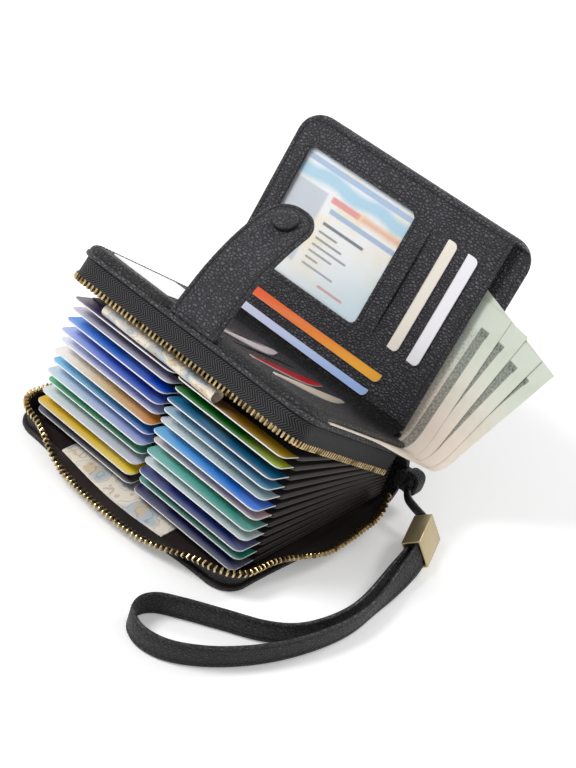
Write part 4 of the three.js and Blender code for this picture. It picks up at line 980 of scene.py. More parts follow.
# %% Seam lines
def inset_walk(box, radii, inset, step=1.0, start=0.0, stop=0.0):
    x0, x1, y0, y1 = box[0] + inset, box[1] - inset, box[2] + inset, box[3]
    r0, r1 = max(radii[0] - inset, 0.3), max(radii[1] - inset, 0.3)
    corners = [(x0, y1 - start)]
    corners += [(x0, y) for y in np.arange(y1 - start - step, y0 + r0, -step)]
    corners += [(x0 + r0 - r0 * math.cos(a), y0 + r0 - r0 * math.sin(a)) for a in np.linspace(0, math.pi / 2, 12)]
    corners += [(x, y0) for x in np.arange(x0 + r0 + step, x1 - r1, step)]
    corners += [(x1 - r1 + r1 * math.sin(a), y0 + r1 - r1 * math.cos(a)) for a in np.linspace(0, math.pi / 2, 12)]
    corners += [(x1, y) for y in np.arange(y0 + r1 + step, y1 - stop, step)]
    return np.array(corners)


walk = inset_walk(POCKET_BOX, POCKET_RADII, 2.5, start=3, stop=3)
walk = np.column_stack(pocket_bow(walk[:, 0], walk[:, 1]))
line = np.column_stack([walk, np.full(len(walk), 3.98)])
seam("lid_pocket_stitching", [(line, (0, 0, 1.0))], LID, "lid")

# %% [markdown]
# Flat cards are all made in one way: a plane at the card's size, its four corners bevelled round, the face
# extruded to the card's thickness and the rim softened. The print reads a UV map that runs from 0 to 1 across
# and along the card, and the rim keeps the white of the plastic core.

# %% Card maker
CARD_CORE, tree, shader = new_finish("white_card_core")
speck = noise(tree, object_place(tree), 500.0)
fill(tree, shader, Base_Color=mixed(tree, speck, colour("e4e4e4"), colour("f4f4f4")), Roughness=0.4)


def card(name, x0, x1, y0, y1, z0, thickness, radius=3.2):
    clear_selection()
    bpy.ops.mesh.primitive_plane_add(size=1, location=((x0 + x1) / 2, (y0 + y1) / 2, z0))
    piece = bpy.context.object
    piece.name = piece.data.name = name
    piece.scale = (x1 - x0, y1 - y0, 1)
    bpy.ops.object.transform_apply(location=True, rotation=False, scale=True)
    edit_all(piece, lambda: bpy.ops.mesh.bevel(offset=radius, segments=6, affect="VERTICES"),
             lambda: bpy.ops.mesh.extrude_region_move(TRANSFORM_OT_translate={"value": (0, 0, thickness)}),
             face_outwards)
    apply_modifier(piece, "BEVEL", width=min(0.1, thickness / 4), segments=1, limit_method="ANGLE")
    map_box(piece, x0, x1, y0, y1)
    second_finish(piece, lambda face: abs(face.normal.z) <= 0.9)
    return piece


print("card maker ready")

# %% [markdown]
# Prints are plain tints. A colour ramp runs across the card and a soft diagonal sweep breaks it up. A lighter strip
# near the front end is painted light, the front of each card shown brighter than the rest, and the specular gloss
# makes the print shine.

# %% Card prints
def print_finish(name, tones, sweep=0.35, turn=0.0, rough=0.3, shine=0.3):
    made, tree, shader = new_finish(name)
    across, up = across_up(tree)
    wave = sums(tree, "SINE", sums(tree, "MULTIPLY_ADD", up, 9.0, turn))
    bent = sums(tree, "MULTIPLY_ADD", wave, 0.09, across)
    ramp = add(tree, "ShaderNodeValToRGB", {0: bent})
    while len(ramp.color_ramp.elements) < len(tones):
        ramp.color_ramp.elements.new(0.5)
    for k, tone in enumerate(tones):
        ramp.color_ramp.elements[k].position = 0.06 + 0.88 * k / max(1, len(tones) - 1)
        ramp.color_ramp.elements[k].color = colour(tone)
    slope = sums(tree, "MULTIPLY_ADD", sums(tree, "ADD", across, up), 7.0, turn * 3)
    slant = ranged(tree, sums(tree, "SINE", slope), 0.35, 0.9)
    # Painted light: a lighter strip at the card's front end, mixed towards white.
    front = ranged(tree, up, 0.0, 0.05, 0.22, 0.0)
    lift = sums(tree, "MAXIMUM", times(tree, slant, sweep * 0.35), front)
    fill(tree, shader, Base_Color=mixed(tree, lift, ramp.outputs["Color"], colour("f8fafc")), Roughness=rough,
         Specular_IOR_Level=shine)
    return made


LEFT_PRINTS = [("322c58", "231d45"), ("e0b82c", "f0d22a"), ("f1eff8", "d5d3e6"), ("22b573", "0f8f57"),
               ("e0e8ea", "a9b4dc"), ("6fc2f2", "1b6fe0"), ("f8f4ec", "e0c48e", "de8a1c"), ("f8f7fd", "d9d6ea"),
               ("cfd8fa", "6f93ea", "3a62c4"), ("4f9df2", "0f5ad2"), ("f3f1fa", "d3cfe8"), ("4a3a86", "2c1f5a")]
RIGHT_PRINTS = [("2a2c64", "1c1f4f"), ("3aa890", "1f8a72"), ("2c3a86", "1c2a6a"), ("f0f1f4", "cfd6da"),
                ("6fc4ba", "1f9484"), ("f2dccf", "dcb4a4"), ("6fc6f6", "1476e6"), ("f2f1f4", "b9c6c4"),
                ("c8eaf0", "3f9cc4"), ("2f86bc", "0f5f94"), ("1f9a3c", "14862c", "b4d22c"),
                ("8f6420", "d89a1c", "eec02a")]
left_finishes = [print_finish("left_print_%02d" % (i + 1), t, 0.3, i * 0.8) for i, t in enumerate(LEFT_PRINTS)]
right_finishes = [print_finish("right_print_%02d" % (i + 1), t, 0.3, i * 1.1) for i, t in enumerate(RIGHT_PRINTS)]
print("prints:", len(left_finishes) + len(right_finishes))

# %% [markdown]
# The two columns of cards: one card per row and column, each a bit further in or out than its neighbours,
# as cards sit in a used wallet.

# %% Fanned cards
LEFT_PUSH = (2, 0.5, 1.5, 3, 0.8, 2.2, 1, 2.6, 0.6, 1.6, 2.4, 1.2)
RIGHT_PUSH = (1.4, 2.6, 0.8, 2, 1.2, 3, 0.6, 2.2, 1.6, 0.8, 2.8, 1.8)
CARD_WIDE, CARD_FRONT, CARD_BACK = 54, -96.6, -11
for i in range(ROW_COUNT):
    number = "%02d" % (i + 1)
    for node, push, x0, made in (("card_left_" + number, LEFT_PUSH[i], -55, left_finishes[i]),
                                 ("card_right_" + number, RIGHT_PUSH[i], 1, right_finishes[i])):
        piece = card(node + "_print", x0, x0 + CARD_WIDE, CARD_FRONT + push, CARD_BACK + push, 0.87, 0.5)
        finish(piece, ROWS[i], [made, CARD_CORE], "row_" + number, [node], 30)

# %% [markdown]
# Each card row sits in a thin cloth pocket that is sewn in at the spine. The pocket is pinched shut along its sides
# and between the two columns, and thinner towards the spine, where the pockets crowd when they fan out. Its front
# is open, and a lighter line runs low along its pinched sides.

# %% Accordion pockets
def pocket_height(x, y, d):
    sides = np.minimum(55.6 - np.abs(x), np.abs(x) + 0.35)
    return 0.2 + np.minimum(1.46, 0.75 - 0.09 * y) * np.clip(sides / 0.6, 0, 1) ** 0.5


for i in range(ROW_COUNT):
    number = "%02d" % (i + 1)
    leaf = panel("leaf_%s_cloth" % number, (-55.6, 55.6, -83.6, -0.7), (3, 3, 0.5, 0.5), 8.0, pocket_height,
                 lambda x, y, d: 0.0 * d, [-1.2, -0.6, -0.2, 0.2, 0.6, 1.2])
    co = points(leaf)
    set_attribute(leaf, "edge", np.where(np.abs(co[:, 0]) > 54.5, co[:, 2], FAR_FROM_EDGE))
    finish(leaf, ROWS[i], [LEAF_CLOTH], "row_" + number, ["leaf_" + number])

# %% [markdown]
# The flap's inner panel has the ID window and five card slots. It is the same kind of panel as the lid's, with the
# window's faces deleted from the grid before it gets its thickness. It is seen from its inner side, which is the
# low side in the flap's own frame, so the lips rise downwards.

# %% Flap inner panel
INNER_BOX = (-59.5, 51, -92, -1.55)
INNER_RADII = (10, 1.5, 1, 1)
WINDOW = (-50, 8, -79, -26)
UPRIGHT_SLOTS = (17.5, 26, 36.5)
LEVEL_SLOTS = (-16, -7.5)


def inner_face(x, y, d):
    z = 1.15 - 0.75 * roll(d, 0.9) - groove(d, 2.1, 0.22)
    for at, drop in zip(UPRIGHT_SLOTS, (1.0, 0.7, 0.7)):
        z = z - slot_relief(x - at, y, -78, -26, 0.42, drop)
    for at in LEVEL_SLOTS:
        z = z - slot_relief(y - at, x, -47, 33, 0.42, 0.6, 1.8)
    return z


RIM_LINES = np.array([-2.6, -2.1, -1.6, -0.8, -0.3, 0, 0.3, 0.8, 1.6, 2.1, 2.6])


def cut_lines(slots, rims):
    near_slots = [v for at in slots for v in slot_lines(at)]
    return sorted(set(np.round(near_slots + [v for at in rims for v in at + RIM_LINES], 3)))


flap_inner = panel("flap_inner_leather", INNER_BOX, INNER_RADII, 2.6, lambda x, y, d: 1.15 + 0.75 * roll(d, 0.9),
                   inner_face,
                   cut_lines(UPRIGHT_SLOTS, WINDOW[:2]), cut_lines(LEVEL_SLOTS, WINDOW[2:]), WINDOW)
paint_seam_shade(flap_inner, 2.1)
finish(flap_inner, FLAP, [LEATHER], "flap", ["flap_panel"])
walk = inset_walk(INNER_BOX, INNER_RADII, 2.1, start=4, stop=90)
line = np.column_stack([walk, np.full(len(walk), 0.5)])
seam("flap_inner_stitching", [(line, (0, 0, -1.0))], FLAP, "flap")

# %% [markdown]
# The flap's cover is the outer leather. Along its left and top edges it turns over in a thick rim that is sewn to
# the inner panel; the right side stays open, and that is the mouth of the note pocket.

# %% Flap cover
COVER_BOX = (-60, 60, -92.5, -1.55)
COVER_RADII = (10, 10, 1, 1)


def cover_low(x, y, d):
    shut_sides = edge_distance(x, y, (-60, 260, -92.5, 200), (10, 0, 0, 0))
    turned = np.clip((2.7 - shut_sides) / 0.5, 0, 1)
    low = 5.38 - 3.18 * turned
    return low + (0.5 + 1.6 * turned) * (1 - roll(d, 1.2))


flap_cover = panel("flap_cover_leather", COVER_BOX, COVER_RADII, 3.0,
                   lambda x, y, d: 7.38 - 1.3 * (1 - roll(d, 1.6)) + groove(d, 2.5, 0.25), cover_low)
paint_seam_shade(flap_cover, 2.5)
finish(flap_cover, FLAP, [LEATHER], "flap", ["flap_cover"])
walk = inset_walk(COVER_BOX, COVER_RADII, 2.5, start=3, stop=3)
seam("flap_cover_stitching", [(np.column_stack([walk, np.full(len(walk), 7.25)]), (0, 0, 1.0))], FLAP, "flap")

# %% [markdown]
# Behind the window lies the ID card, here with a plain design: tinted bands, a blank block and a few short bars.
# A mask for each block comes from the card's own UV map.

# %% ID card
def block(tree, across, up, x0, x1, y0, y1, soft=0.012):
    sides = [ranged(tree, across, x0 - soft, x0 + soft), ranged(tree, across, x1 - soft, x1 + soft, 1.0, 0.0),
             ranged(tree, up, y0 - soft, y0 + soft), ranged(tree, up, y1 - soft, y1 + soft, 1.0, 0.0)]
    mask = sides[0]
    for side in sides[1:]:
        mask = times(tree, mask, side)
    return mask


ID_PRINT, tree, shader = new_finish("id_card_print")
across, up = across_up(tree)
cloud = noise(tree, own_uv(tree), 5.0)
tint = mixed(tree, ranged(tree, cloud, 0.42, 0.68), colour("ffffff"), colour("fff5da"))
tint = mixed(tree, ranged(tree, sums(tree, "ADD", across, up), 1.05, 1.6), tint, colour("dcf0fa"))
wave = times(tree, sums(tree, "SINE", sums(tree, "MULTIPLY_ADD", across, 21.0, times(tree, cloud, 6.0))), 0.016)
hills = block(tree, across, sums(tree, "ADD", up, wave), -0.1, 1.1, 0.115, 0.225, 0.03)
tint = mixed(tree, times(tree, hills, 0.85), tint, colour("9ad6f2"))
fine_lines = ranged(tree, sums(tree, "SINE", times(tree, sums(tree, "ADD", up, wave), 240.0)), 0.2, 1.0)
tint = mixed(tree, times(tree, fine_lines, 0.06), tint, colour("8fbdd4"))
for x0, x1, y0, y1, tone, soft in (
        (-0.1, 1.1, -0.1, 0.035, "e4f0fa", 0.02), (0.05, 0.9, 0.055, 0.10, "a9c6e8", 0.006),
        (0.28, 0.46, 0.255, 0.305, "f0908a", 0.008),
        (0.46, 0.95, 0.255, 0.305, "f6b98c", 0.03), (0.04, 0.25, 0.26, 0.86, "cdd4de", 0.012),
        (0.30, 0.72, 0.345, 0.385, "a4bede", 0.006),
        (0.30, 0.56, 0.46, 0.485, "4f5560", 0.004), (0.30, 0.42, 0.535, 0.552, "7d848e", 0.004),
        (0.30, 0.47, 0.59, 0.607, "7d848e", 0.004),
        (0.30, 0.52, 0.645, 0.662, "8d949e", 0.004), (0.30, 0.45, 0.70, 0.717, "8d949e", 0.004),
        (0.30, 0.38, 0.755, 0.772, "8d949e", 0.004),
        (0.30, 0.50, 0.81, 0.827, "9da4ae", 0.004), (0.44, 0.60, 0.90, 0.92, "d89aa0", 0.004)):
    tint = mixed(tree, block(tree, across, up, x0, x1, y0, y1, soft), tint, colour(tone))
fill(tree, shader, Base_Color=tint, Roughness=0.35, Specular_IOR_Level=0.3)
id_card = card("id_card_print", -54, 31.6, -79.5, -25.5, 2.9, 0.76)
finish(id_card, FLAP, [ID_PRINT, CARD_CORE], "flap", ["id_card"], 30)

# %% [markdown]
# The window itself is a sheet of clear plastic. It lets most light through and keeps a soft gloss, with faint
# waves in the sheet.

# %% Window sheet
CLEAR, tree, shader = new_finish("clear_sheet")
where = object_place(tree)
waves = noise(tree, where, 70.0)
fill(tree, shader, Base_Color=mixed(tree, waves, colour("f4f8fa"), colour("ffffff")), Roughness=0.12,
     Alpha=0.12, Normal=bumped(tree, 0.25, 0.001, waves))
window_sheet = card("id_window_sheet", -52.5, 10.5, -81.5, -23.5, 2.2, 0.4, 2.0)
finish(window_sheet, FLAP, [CLEAR, CLEAR], "flap", ["id_window"], 30)

# %% [markdown]
# Cards stick out of the slots of the flap and the lid. Only a strip of each shows, so each is a card that starts
# just under its lip and lies a little raised over the leather beside it.

# %% Slot cards
def slot_card(name, box, low, high, axis, made, place, body):
    piece = card(name, *box, 0, 0.5, 2.4)
    co = points(piece)
    start, end = (box[0], box[1]) if axis == 0 else (box[2], box[3])
    co[:, 2] = co[:, 2] + low + (high - low) * (co[:, axis] - start) / (end - start)
    set_points(piece, co)
    finish(piece, place, [made, CARD_CORE], body, angle=30)


CREAM = print_finish("cream_print", ("f8f3e9", "f2eadc"), 0.1)
PLAIN_WHITE = print_finish("white_print", ("fcfbfd", "f6f5fa"), 0.1)
AMBER = print_finish("amber_print", ("f4643c", "f48232", "f6b23c"), 0.1)
LILAC = print_finish("lilac_print", ("dcdcf4", "c4d2f4", "9fbbee"), 0.15)
ROSE = print_finish("rose_print", ("d8d0d2", "cfc2c4"), 0.1)
RED = print_finish("red_print", ("b01420", "c01c26"), 0.0, 0.0, 0.6, 0.06)
BEIGE = print_finish("beige_print", ("dccdb6", "cdb99c"), 0.1)
slot_card("flap_card_1", (20, 31.4, -78, -27), 1.25, -0.22, 0, CREAM, FLAP, "flap")
slot_card("flap_card_2", (30.4, 42.4, -77.4, -27), 1.25, -0.42, 0, PLAIN_WHITE, FLAP, "flap")
slot_card("flap_card_3", (-43.5, 31, -22, -11.9), 1.25, -0.4, 1, AMBER, FLAP, "flap")
slot_card("flap_card_4", (-45, 29, -13.4, -4.1), 1.25, -0.4, 1, LILAC, FLAP, "flap")
slot_card("lid_card_1", (-52, -16.5, -91, -39), 4.15, 3.7, 0, PLAIN_WHITE, LID, "lid")

# %% [markdown]
# On the lid the leather is drawn tight over the cards, so they look out of lens-shaped mouths. These cards start as
# a grid whose free side is drawn in towards both ends, and Solidify gives them their thickness.

# %% Lens cards on the lid
def lens_card(name, at, reach, y0, y1, z, made):
    lines = [at - 2, at] + list(at + reach * np.array([0.25, 0.5, 0.75, 1.0]))
    piece = grid_sheet(name, lines, np.linspace(y0, y1, 37))
    map_box(piece, at, at + reach, y0, y1)
    apply_modifier(piece, "SOLIDIFY", thickness=0.4, offset=1.0)
    second_finish(piece, lambda face: abs(face.normal.z) <= 0.9)
    co = points(piece)
    lens = np.sin(math.pi * np.clip((co[:, 1] - y0) / (y1 - y0), 0, 1)) ** 1.1
    past = np.maximum(co[:, 0] - at, 0)
    co[:, 0] = np.minimum(co[:, 0], at) + past * (0.04 + 0.96 * lens)
    co[:, 2] = co[:, 2] + z
    set_points(piece, co)
    finish(piece, LID, [made, CARD_CORE], "lid", angle=30)


lens_card("lid_card_2", -4, 9.5, -83, -22, 4.3, ROSE)
lens_card("lid_card_3", 20, 7.0, -86, -20, 4.15, RED)
lens_card("lid_card_4", 32, 7.0, -86, -20, 4.12, BEIGE)

# %% [markdown]
# The closing strap rises from the lid's front edge, bends over and ends in a round tip. It is one sewn strip, so
# it is one panel, bent along a curve after its edges are shaped.

# %% Closing strap
STRAP_FOOT, FOOT_RUN, TONGUE_RUN = np.array([-100.9, 1.5]), 13.0, 50.0
STRAP_LEAN, TIP_LEAN = 84.0, 44.0
fine_runs = np.linspace(0, FOOT_RUN + TONGUE_RUN + 1, 641)
leans = np.radians(STRAP_LEAN + (TIP_LEAN - STRAP_LEAN) * np.clip((fine_runs - FOOT_RUN) / TONGUE_RUN, 0, 1.02))
step = fine_runs[1] - fine_runs[0]
strap_y = STRAP_FOOT[0] + np.concatenate([[0], np.cumsum(np.cos(leans[:-1]) * step)])
strap_z = STRAP_FOOT[1] + np.concatenate([[0], np.cumsum(np.sin(leans[:-1]) * step)])


def on_strap(across, run, out):
    lean = np.interp(run, fine_runs, leans)
    return np.column_stack([across, np.interp(run, fine_runs, strap_y) - np.sin(lean) * out,
                            np.interp(run, fine_runs, strap_z) + np.cos(lean) * out])


STRAP_BOX = (-11.25, 11.25, -(FOOT_RUN + TONGUE_RUN), 0)
STRAP_RADII = (10.4, 10.4, 0.6, 0.6)


def strap_taper(across, run):
    return across * (1 - 0.067 * run / 63)


strap = panel("closing_strap_leather", STRAP_BOX, STRAP_RADII, 1.6,
              lambda x, y, d: roll(d, 0.9) + groove(d, 1.7, 0.3) + 0.12 * np.clip((d - 2.2) / 4, 0, 1),
              lambda x, y, d: -roll(d, 0.9) - groove(d, 1.7, 0.3))
co = points(strap)
set_points(strap, on_strap(strap_taper(co[:, 0], -co[:, 1]), -co[:, 1], co[:, 2]))
paint_seam_shade(strap, 1.7)
finish(strap, LID, [STRAP_LEATHER], None, ["strap_foot", "closure_strap"], 50)
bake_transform(strap)

# %% [markdown]
# A seam goes up one side of the strap, round its tip and down the other side, on both faces.

# %% Strap stitching
walk = inset_walk(STRAP_BOX, STRAP_RADII, 1.7, 0.8, 1.0, 1.0)
strap_lines = []
for out in (0.82, -0.82):
    line = on_strap(strap_taper(walk[:, 0], -walk[:, 1]), -walk[:, 1], np.full(len(walk), out))
    ahead = on_strap(strap_taper(walk[:, 0], -walk[:, 1]), -walk[:, 1], np.full(len(walk), out * 2))
    strap_lines.append((line, ahead - line))
strap_seam = seam("closing_strap_stitching", strap_lines, LID, None, 2.4)
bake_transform(strap_seam)

# %% [markdown]
# The snap is a cap covered in leather: an upright side and a low dome. A filled circle is extruded ring by ring, each
# ring resized, as a turner would cut it.

# %% Snap dome
clear_selection()
bpy.ops.mesh.primitive_circle_add(vertices=40, radius=4.6, fill_type="NGON")
snap = bpy.context.object
snap.name = snap.data.name = "snap_dome_leather"
bpy.ops.object.mode_set(mode="EDIT")
bpy.ops.mesh.select_all(action="SELECT")
radius = 4.6
for new_radius, rise in ((4.8, 0.2), (4.9, 0.9), (4.9, 0.7), (4.7, 0.4), (4.3, 0.26), (3.7, 0.18), (2.8, 0.16),
                         (1.7, 0.1), (0.6, 0.04)):
    bpy.ops.mesh.extrude_region_move(TRANSFORM_OT_translate={"value": (0, 0, rise)})
    bpy.ops.transform.resize(value=(new_radius / radius, new_radius / radius, 1))
    radius = new_radius
bpy.ops.mesh.select_all(action="SELECT")
bpy.ops.mesh.normals_make_consistent(inside=False)
bpy.ops.object.mode_set(mode="OBJECT")
second_finish(snap, lambda face: face.normal.z <= 0.6)
co = points(snap)
SNAP_RUN = FOOT_RUN + 39.5
set_points(snap, on_strap(co[:, 0], SNAP_RUN + co[:, 1], co[:, 2] + 0.9))
finish(snap, LID, [STRAP_LEATHER, EDGE_PAINT], "strap", ["snap_cap"], 60)

# %% [markdown]
# The zip tapes follow the panels' edge. The upper one hangs straight down from the lid. The lower one stands on
# the base and leans outwards in two waves, because it is unzipped. The edge's path and the lean are the solid
# model's; the tape's section swells at its top where the cord is that the teeth grip.

# %% Zip path
ARC_RUN, FRONT_RUN = math.pi / 2 * CORNER, 2 * HALF_FRONT
EDGE_RUN = 2 * SIDE_RUN + 2 * ARC_RUN + FRONT_RUN
LEANS = ((0, 0), (0.22, 0), (0.33, 16), (0.44, 76), (0.56, 78), (0.68, 20), (0.73, 26), (0.85, 74), (0.93, 70), (1, 12))


def edge_at(share, bow_front, bow_right):
    run = share * EDGE_RUN
    if run <= SIDE_RUN:
        return (-HALF_WIDTH, -run), (-1, 0)
    run -= SIDE_RUN
    if run <= ARC_RUN:
        n = (-math.cos(run / CORNER), -math.sin(run / CORNER))
        return (-HALF_FRONT + CORNER * n[0], -SIDE_RUN + CORNER * n[1]), n
    run -= ARC_RUN
    if run <= FRONT_RUN:
        return (run - HALF_FRONT, -CASE_DEPTH - bow_front * math.sin(math.pi * run / FRONT_RUN) ** 2), (0, -1)
    run -= FRONT_RUN
    if run <= ARC_RUN:
        n = (math.sin(run / CORNER), -math.cos(run / CORNER))
        return (HALF_FRONT + CORNER * n[0], -SIDE_RUN + CORNER * n[1]), n
    run -= ARC_RUN
    return (HALF_WIDTH + bow_right * math.sin(math.pi * run / SIDE_RUN) ** 2, run - SIDE_RUN), (1, 0)


def lean_at(share):
    for (p, a), (q, b) in zip(LEANS, LEANS[1:]):
        if share <= q:
            t = min(1, max(0, (share - p) / (q - p)))
            return math.radians(a + (b - a) * t * t * (3 - 2 * t))
    return math.radians(LEANS[-1][1])


def tape_frame(share, lower):
    (x, y), (nx, ny) = edge_at(share, BOW_FRONT, BOW_RIGHT) if lower else edge_at(share, 0, 0)
    lean = lean_at(share) if lower else 0.0
    out, up = np.array([nx, ny, 0.0]), np.array([0, 0, 1.0 if lower else -1.0])
    rise = up * math.cos(lean) + out * math.sin(lean)
    side = out * math.cos(lean) - up * math.sin(lean)
    foot = np.array([x - 2 * nx, y - 2 * ny, 2.4 if lower else -1.2]) + up * (0.3 + 0.5 * math.sin(lean))
    return foot, rise, side


ZIP_FROM = 7 / EDGE_RUN
ZIP_SHARE = 1 - 2 * ZIP_FROM
print("zip run", round(EDGE_RUN * ZIP_SHARE, 1), "mm")

# %% [markdown]
# Each tape is lofted along the path. The inner side of the lower one is faced with the brown lining.

# %% Zip tapes
TAPE_SECTION = [(-0.5, 0.0), (-0.42, 0.5), (-0.38, 2.0), (-0.36, 3.5), (-0.36, 5.0), (-0.38, 6.2), (-0.5, 6.7),
                (-0.7, 7.05), (-0.72, 7.35), (-0.4, 7.55)]
TAPE_SECTION = TAPE_SECTION + [(-w, h) for w, h in TAPE_SECTION[::-1]]
for lower, body, node in ((True, "base", "lower_zip_tape"), (False, "lid", "upper_zip_tape")):
    rings = []
    for k in range(241):
        foot, rise, side = tape_frame(ZIP_FROM + ZIP_SHARE * k / 240, lower)
        rings.append([foot + rise * h + side * w for w, h in TAPE_SECTION])
    tape = loft(node + "_weave", rings)
    around = len(TAPE_SECTION)
    second_finish(tape, lambda face: lower and all(
        TAPE_SECTION[v % around][0] < 0 and TAPE_SECTION[v % around][1] < 6.4 for v in face.vertices))
    finish(tape, BASE if lower else LID, [TAPE, LINING], body, [node], 60)

# %% [markdown]
# Each brass tooth is a small block that grips the cord, with a narrower head. It is modelled once from a cube with
# bevelled edges, and its mesh is copied along both tapes at an even pitch.

# %% Zip teeth
clear_selection()
bpy.ops.mesh.primitive_cube_add(size=1, location=(0, 0, 0))
tooth = bpy.context.object
tooth.scale = (0.92, 2.3, 1.9)
bpy.ops.object.transform_apply(location=False, rotation=False, scale=True)


def draw_head():
    bpy.ops.mesh.extrude_region_move(TRANSFORM_OT_translate={"value": (0, 0, 0.75)})
    bpy.ops.transform.resize(value=(0.8, 0.82, 1))


edit_faces(tooth, lambda face: face.normal.z > 0.9, draw_head)
apply_modifier(tooth, "BEVEL", width=0.2, segments=1, limit_method="NONE")
tooth_points, tooth_faces = points(tooth), [tuple(face.vertices) for face in tooth.data.polygons]
bpy.data.objects.remove(tooth)
TOOTH_COUNT = round(EDGE_RUN * ZIP_SHARE / 2.1)
for lower, body, node in ((True, "base", "lower_zip_teeth"), (False, "lid", "upper_zip_teeth")):
    spots = []
    for k in range(TOOTH_COUNT):
        share = ZIP_FROM + ZIP_SHARE * (k + 0.26) / TOOTH_COUNT
        foot, rise, side = tape_frame(share, lower)
        spots.append(((np.cross(side, rise), side, rise), foot + rise * 7.9))
    teeth = copies(node + "_brass", tooth_points, tooth_faces, spots)
    finish(teeth, BASE if lower else LID, [TOOTH_BRASS], body, [node], 30)

# %% [markdown]
# The slider's pull is a flat tab that hangs on the slider's loop by a slot. It is a small panel: the slot's faces are
# deleted from the grid, the rims roll over, and a shallow field is sunk into both faces, as a die would strike it.
# The slider and the snap's stud keep their solid shape and get a brass finish.

# %% Pull and the kept solids
PULL_BOX, PULL_RADII, PULL_SLOT = (-3, 3, -24, 0.6), (2.95, 2.95, 0.5, 0.5), (-1.5, 1.5, -3.1, -0.6)


def pull_face(x, y, d):
    field = np.clip((d - 0.9) / 0.35, 0, 1) * np.clip((-5 - y) / 0.5, 0, 1)
    return 0.6 * roll(d, 0.5) - 0.22 * field


pull = panel("zip_pull_brass", PULL_BOX, PULL_RADII, 1.2, pull_face, lambda x, y, d: -pull_face(x, y, d),
             [-1.5, 1.5], [-5.6, -5.0, -3.1, -0.6], PULL_SLOT, 0.4)
pull_place = Matrix.Translation((-0.0611, 0.032, 0.01261)) @ Matrix.Rotation(math.pi / 2, 4, "Y")
finish(pull, pull_place, [FITTING_BRASS], "pull", ["zip_pull"], 40)
for node in ("zip_slider", "snap_stud"):
    kept = bpy.data.objects[node]
    kept.data.materials.clear()
    kept.data.materials.append(SLEEVE_BRASS)
print("brass on the slider and the stud")

# %% [markdown]
# A leather fold joins the lid to the flap: one strip inside, in front of the roll, and one outside, behind it. Both
# are thin sheets drawn across the fold in the lid's Y-Z plane and carried along X.

# %% Fold strips
def paper_thick(piece, thickness=0.12):
    apply_modifier(piece, "SOLIDIFY", thickness=thickness, offset=0.0)


def fold_strip(name, corners, x0, x1, thickness):
    line, _ = smooth_route([(0, y, z) for y, z in corners], 0.5)
    strip = loft(name, [[(x, y, z) for _, y, z in line] for x in np.linspace(x0, x1, 41)], closed=False)
    paper_thick(strip, thickness)
    finish(strip, LID, [SHADED_LEATHER], None, angle=60)
    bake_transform(strip)


fold_strip("fold_inner_leather", [(-6, 3.3), (-3.6, 3.9), (-1.6, 4.6), (0.2, 5.5), (1.2, 6.5), (1.7, 7.4), (1.62, 8.9)],
           -59, 50.6, 0.5)
fold_strip("fold_outer_leather", [(0.3, 2.1), (2.2, 2.8), (4.6, 3.5), (7.4, 4.9), (9.1, 7.0), (9.0, 10.0)],
           -59.4, 59.4, 0.7)

# %% [markdown]
# The notes are thin sheets of paper. Their print is only a plain tint that turns from pale green to cream, with a
# dark band inside a plain margin, read from each sheet's own UV map. The band is partly a printed frame and partly
# painted shadow along each note's right edge. The two folded ones show soft patches of blue-grey and tan on cream.

# %% Note paper
PAPER, tree, shader = new_finish("note_paper")
spread = own_uv(tree)
across, up = across_up(tree)
cloud, laid = noise(tree, spread, 7.0, 3.0), noise(tree, spread, 90.0, 3.0)
tint = mixed(tree, ranged(tree, up, 0.12, 0.5), colour("dce4d6"), colour("f6e9dc"))
tint = mixed(tree, times(tree, ranged(tree, cloud, 0.45, 0.75), 0.35), tint, colour("c9ccb4"))
# The band near the right edge is partly the printed frame and partly painted shadow along the note's edge.
frame_and_edge_shadow = sums(tree, "MAXIMUM", times(tree, block(tree, across, up, 0.862, 0.922, 0.09, 1.0, 0.004), 0.9),
                  block(tree, across, up, 0.862, 0.926, 0.088, 0.118, 0.003))
inside = times(tree, block(tree, across, up, 0.08, 0.865, 0.11, 0.98, 0.02), ranged(tree, laid, 0.35, 0.7, 0.05, 0.38))
ink_and_edge_shadow = sums(tree, "MAXIMUM", times(tree, frame_and_edge_shadow, ranged(tree, laid, 0.3, 0.7, 0.62, 0.95)), inside)
fill(tree, shader, Base_Color=mixed(tree, ink_and_edge_shadow, tint, colour("5a6057")), Roughness=0.75, Specular_IOR_Level=0.2)


FOLDED, tree, shader = new_finish("folded_note_paper")
spread = own_uv(tree)
rise = across_up(tree)[1]
cloud, patch = noise(tree, spread, 8.0), noise(tree, spread, 13.0)
tint = mixed(tree, ranged(tree, cloud, 0.46, 0.6), colour("f2e8d8"), colour("bfc8cf"))
tint = mixed(tree, ranged(tree, patch, 0.55, 0.66, 0.0, 0.7), tint, colour("d8c09a"))
ripple = sums(tree, "SINE", sums(tree, "MULTIPLY_ADD", cloud, 55.0, times(tree, rise, 20.0)))
contour = ranged(tree, ripple, 0.8, 1.0, 0.0, 0.4)
fill(tree, shader, Base_Color=mixed(tree, contour, tint, colour("77766e")), Roughness=0.7, Specular_IOR_Level=0.2)


NOTE_STEP = 3.0


def note(name, box):
    piece = grid_sheet(name, np.linspace(box[0], box[1], round((box[1] - box[0]) / NOTE_STEP) + 1),
                       np.linspace(box[2], box[3], round((box[3] - box[2]) / NOTE_STEP) + 1))
    map_box(piece, *box)
    return piece


print("note paper ready")

# %% [markdown]
# Four notes stand in the flap's pocket, each drawn further out and turned more than the one before it. Each is placed
# by its free corner. What would go below the fold is cut off with a bisect, because there the notes bend. The free
# right side of each note curls a little.

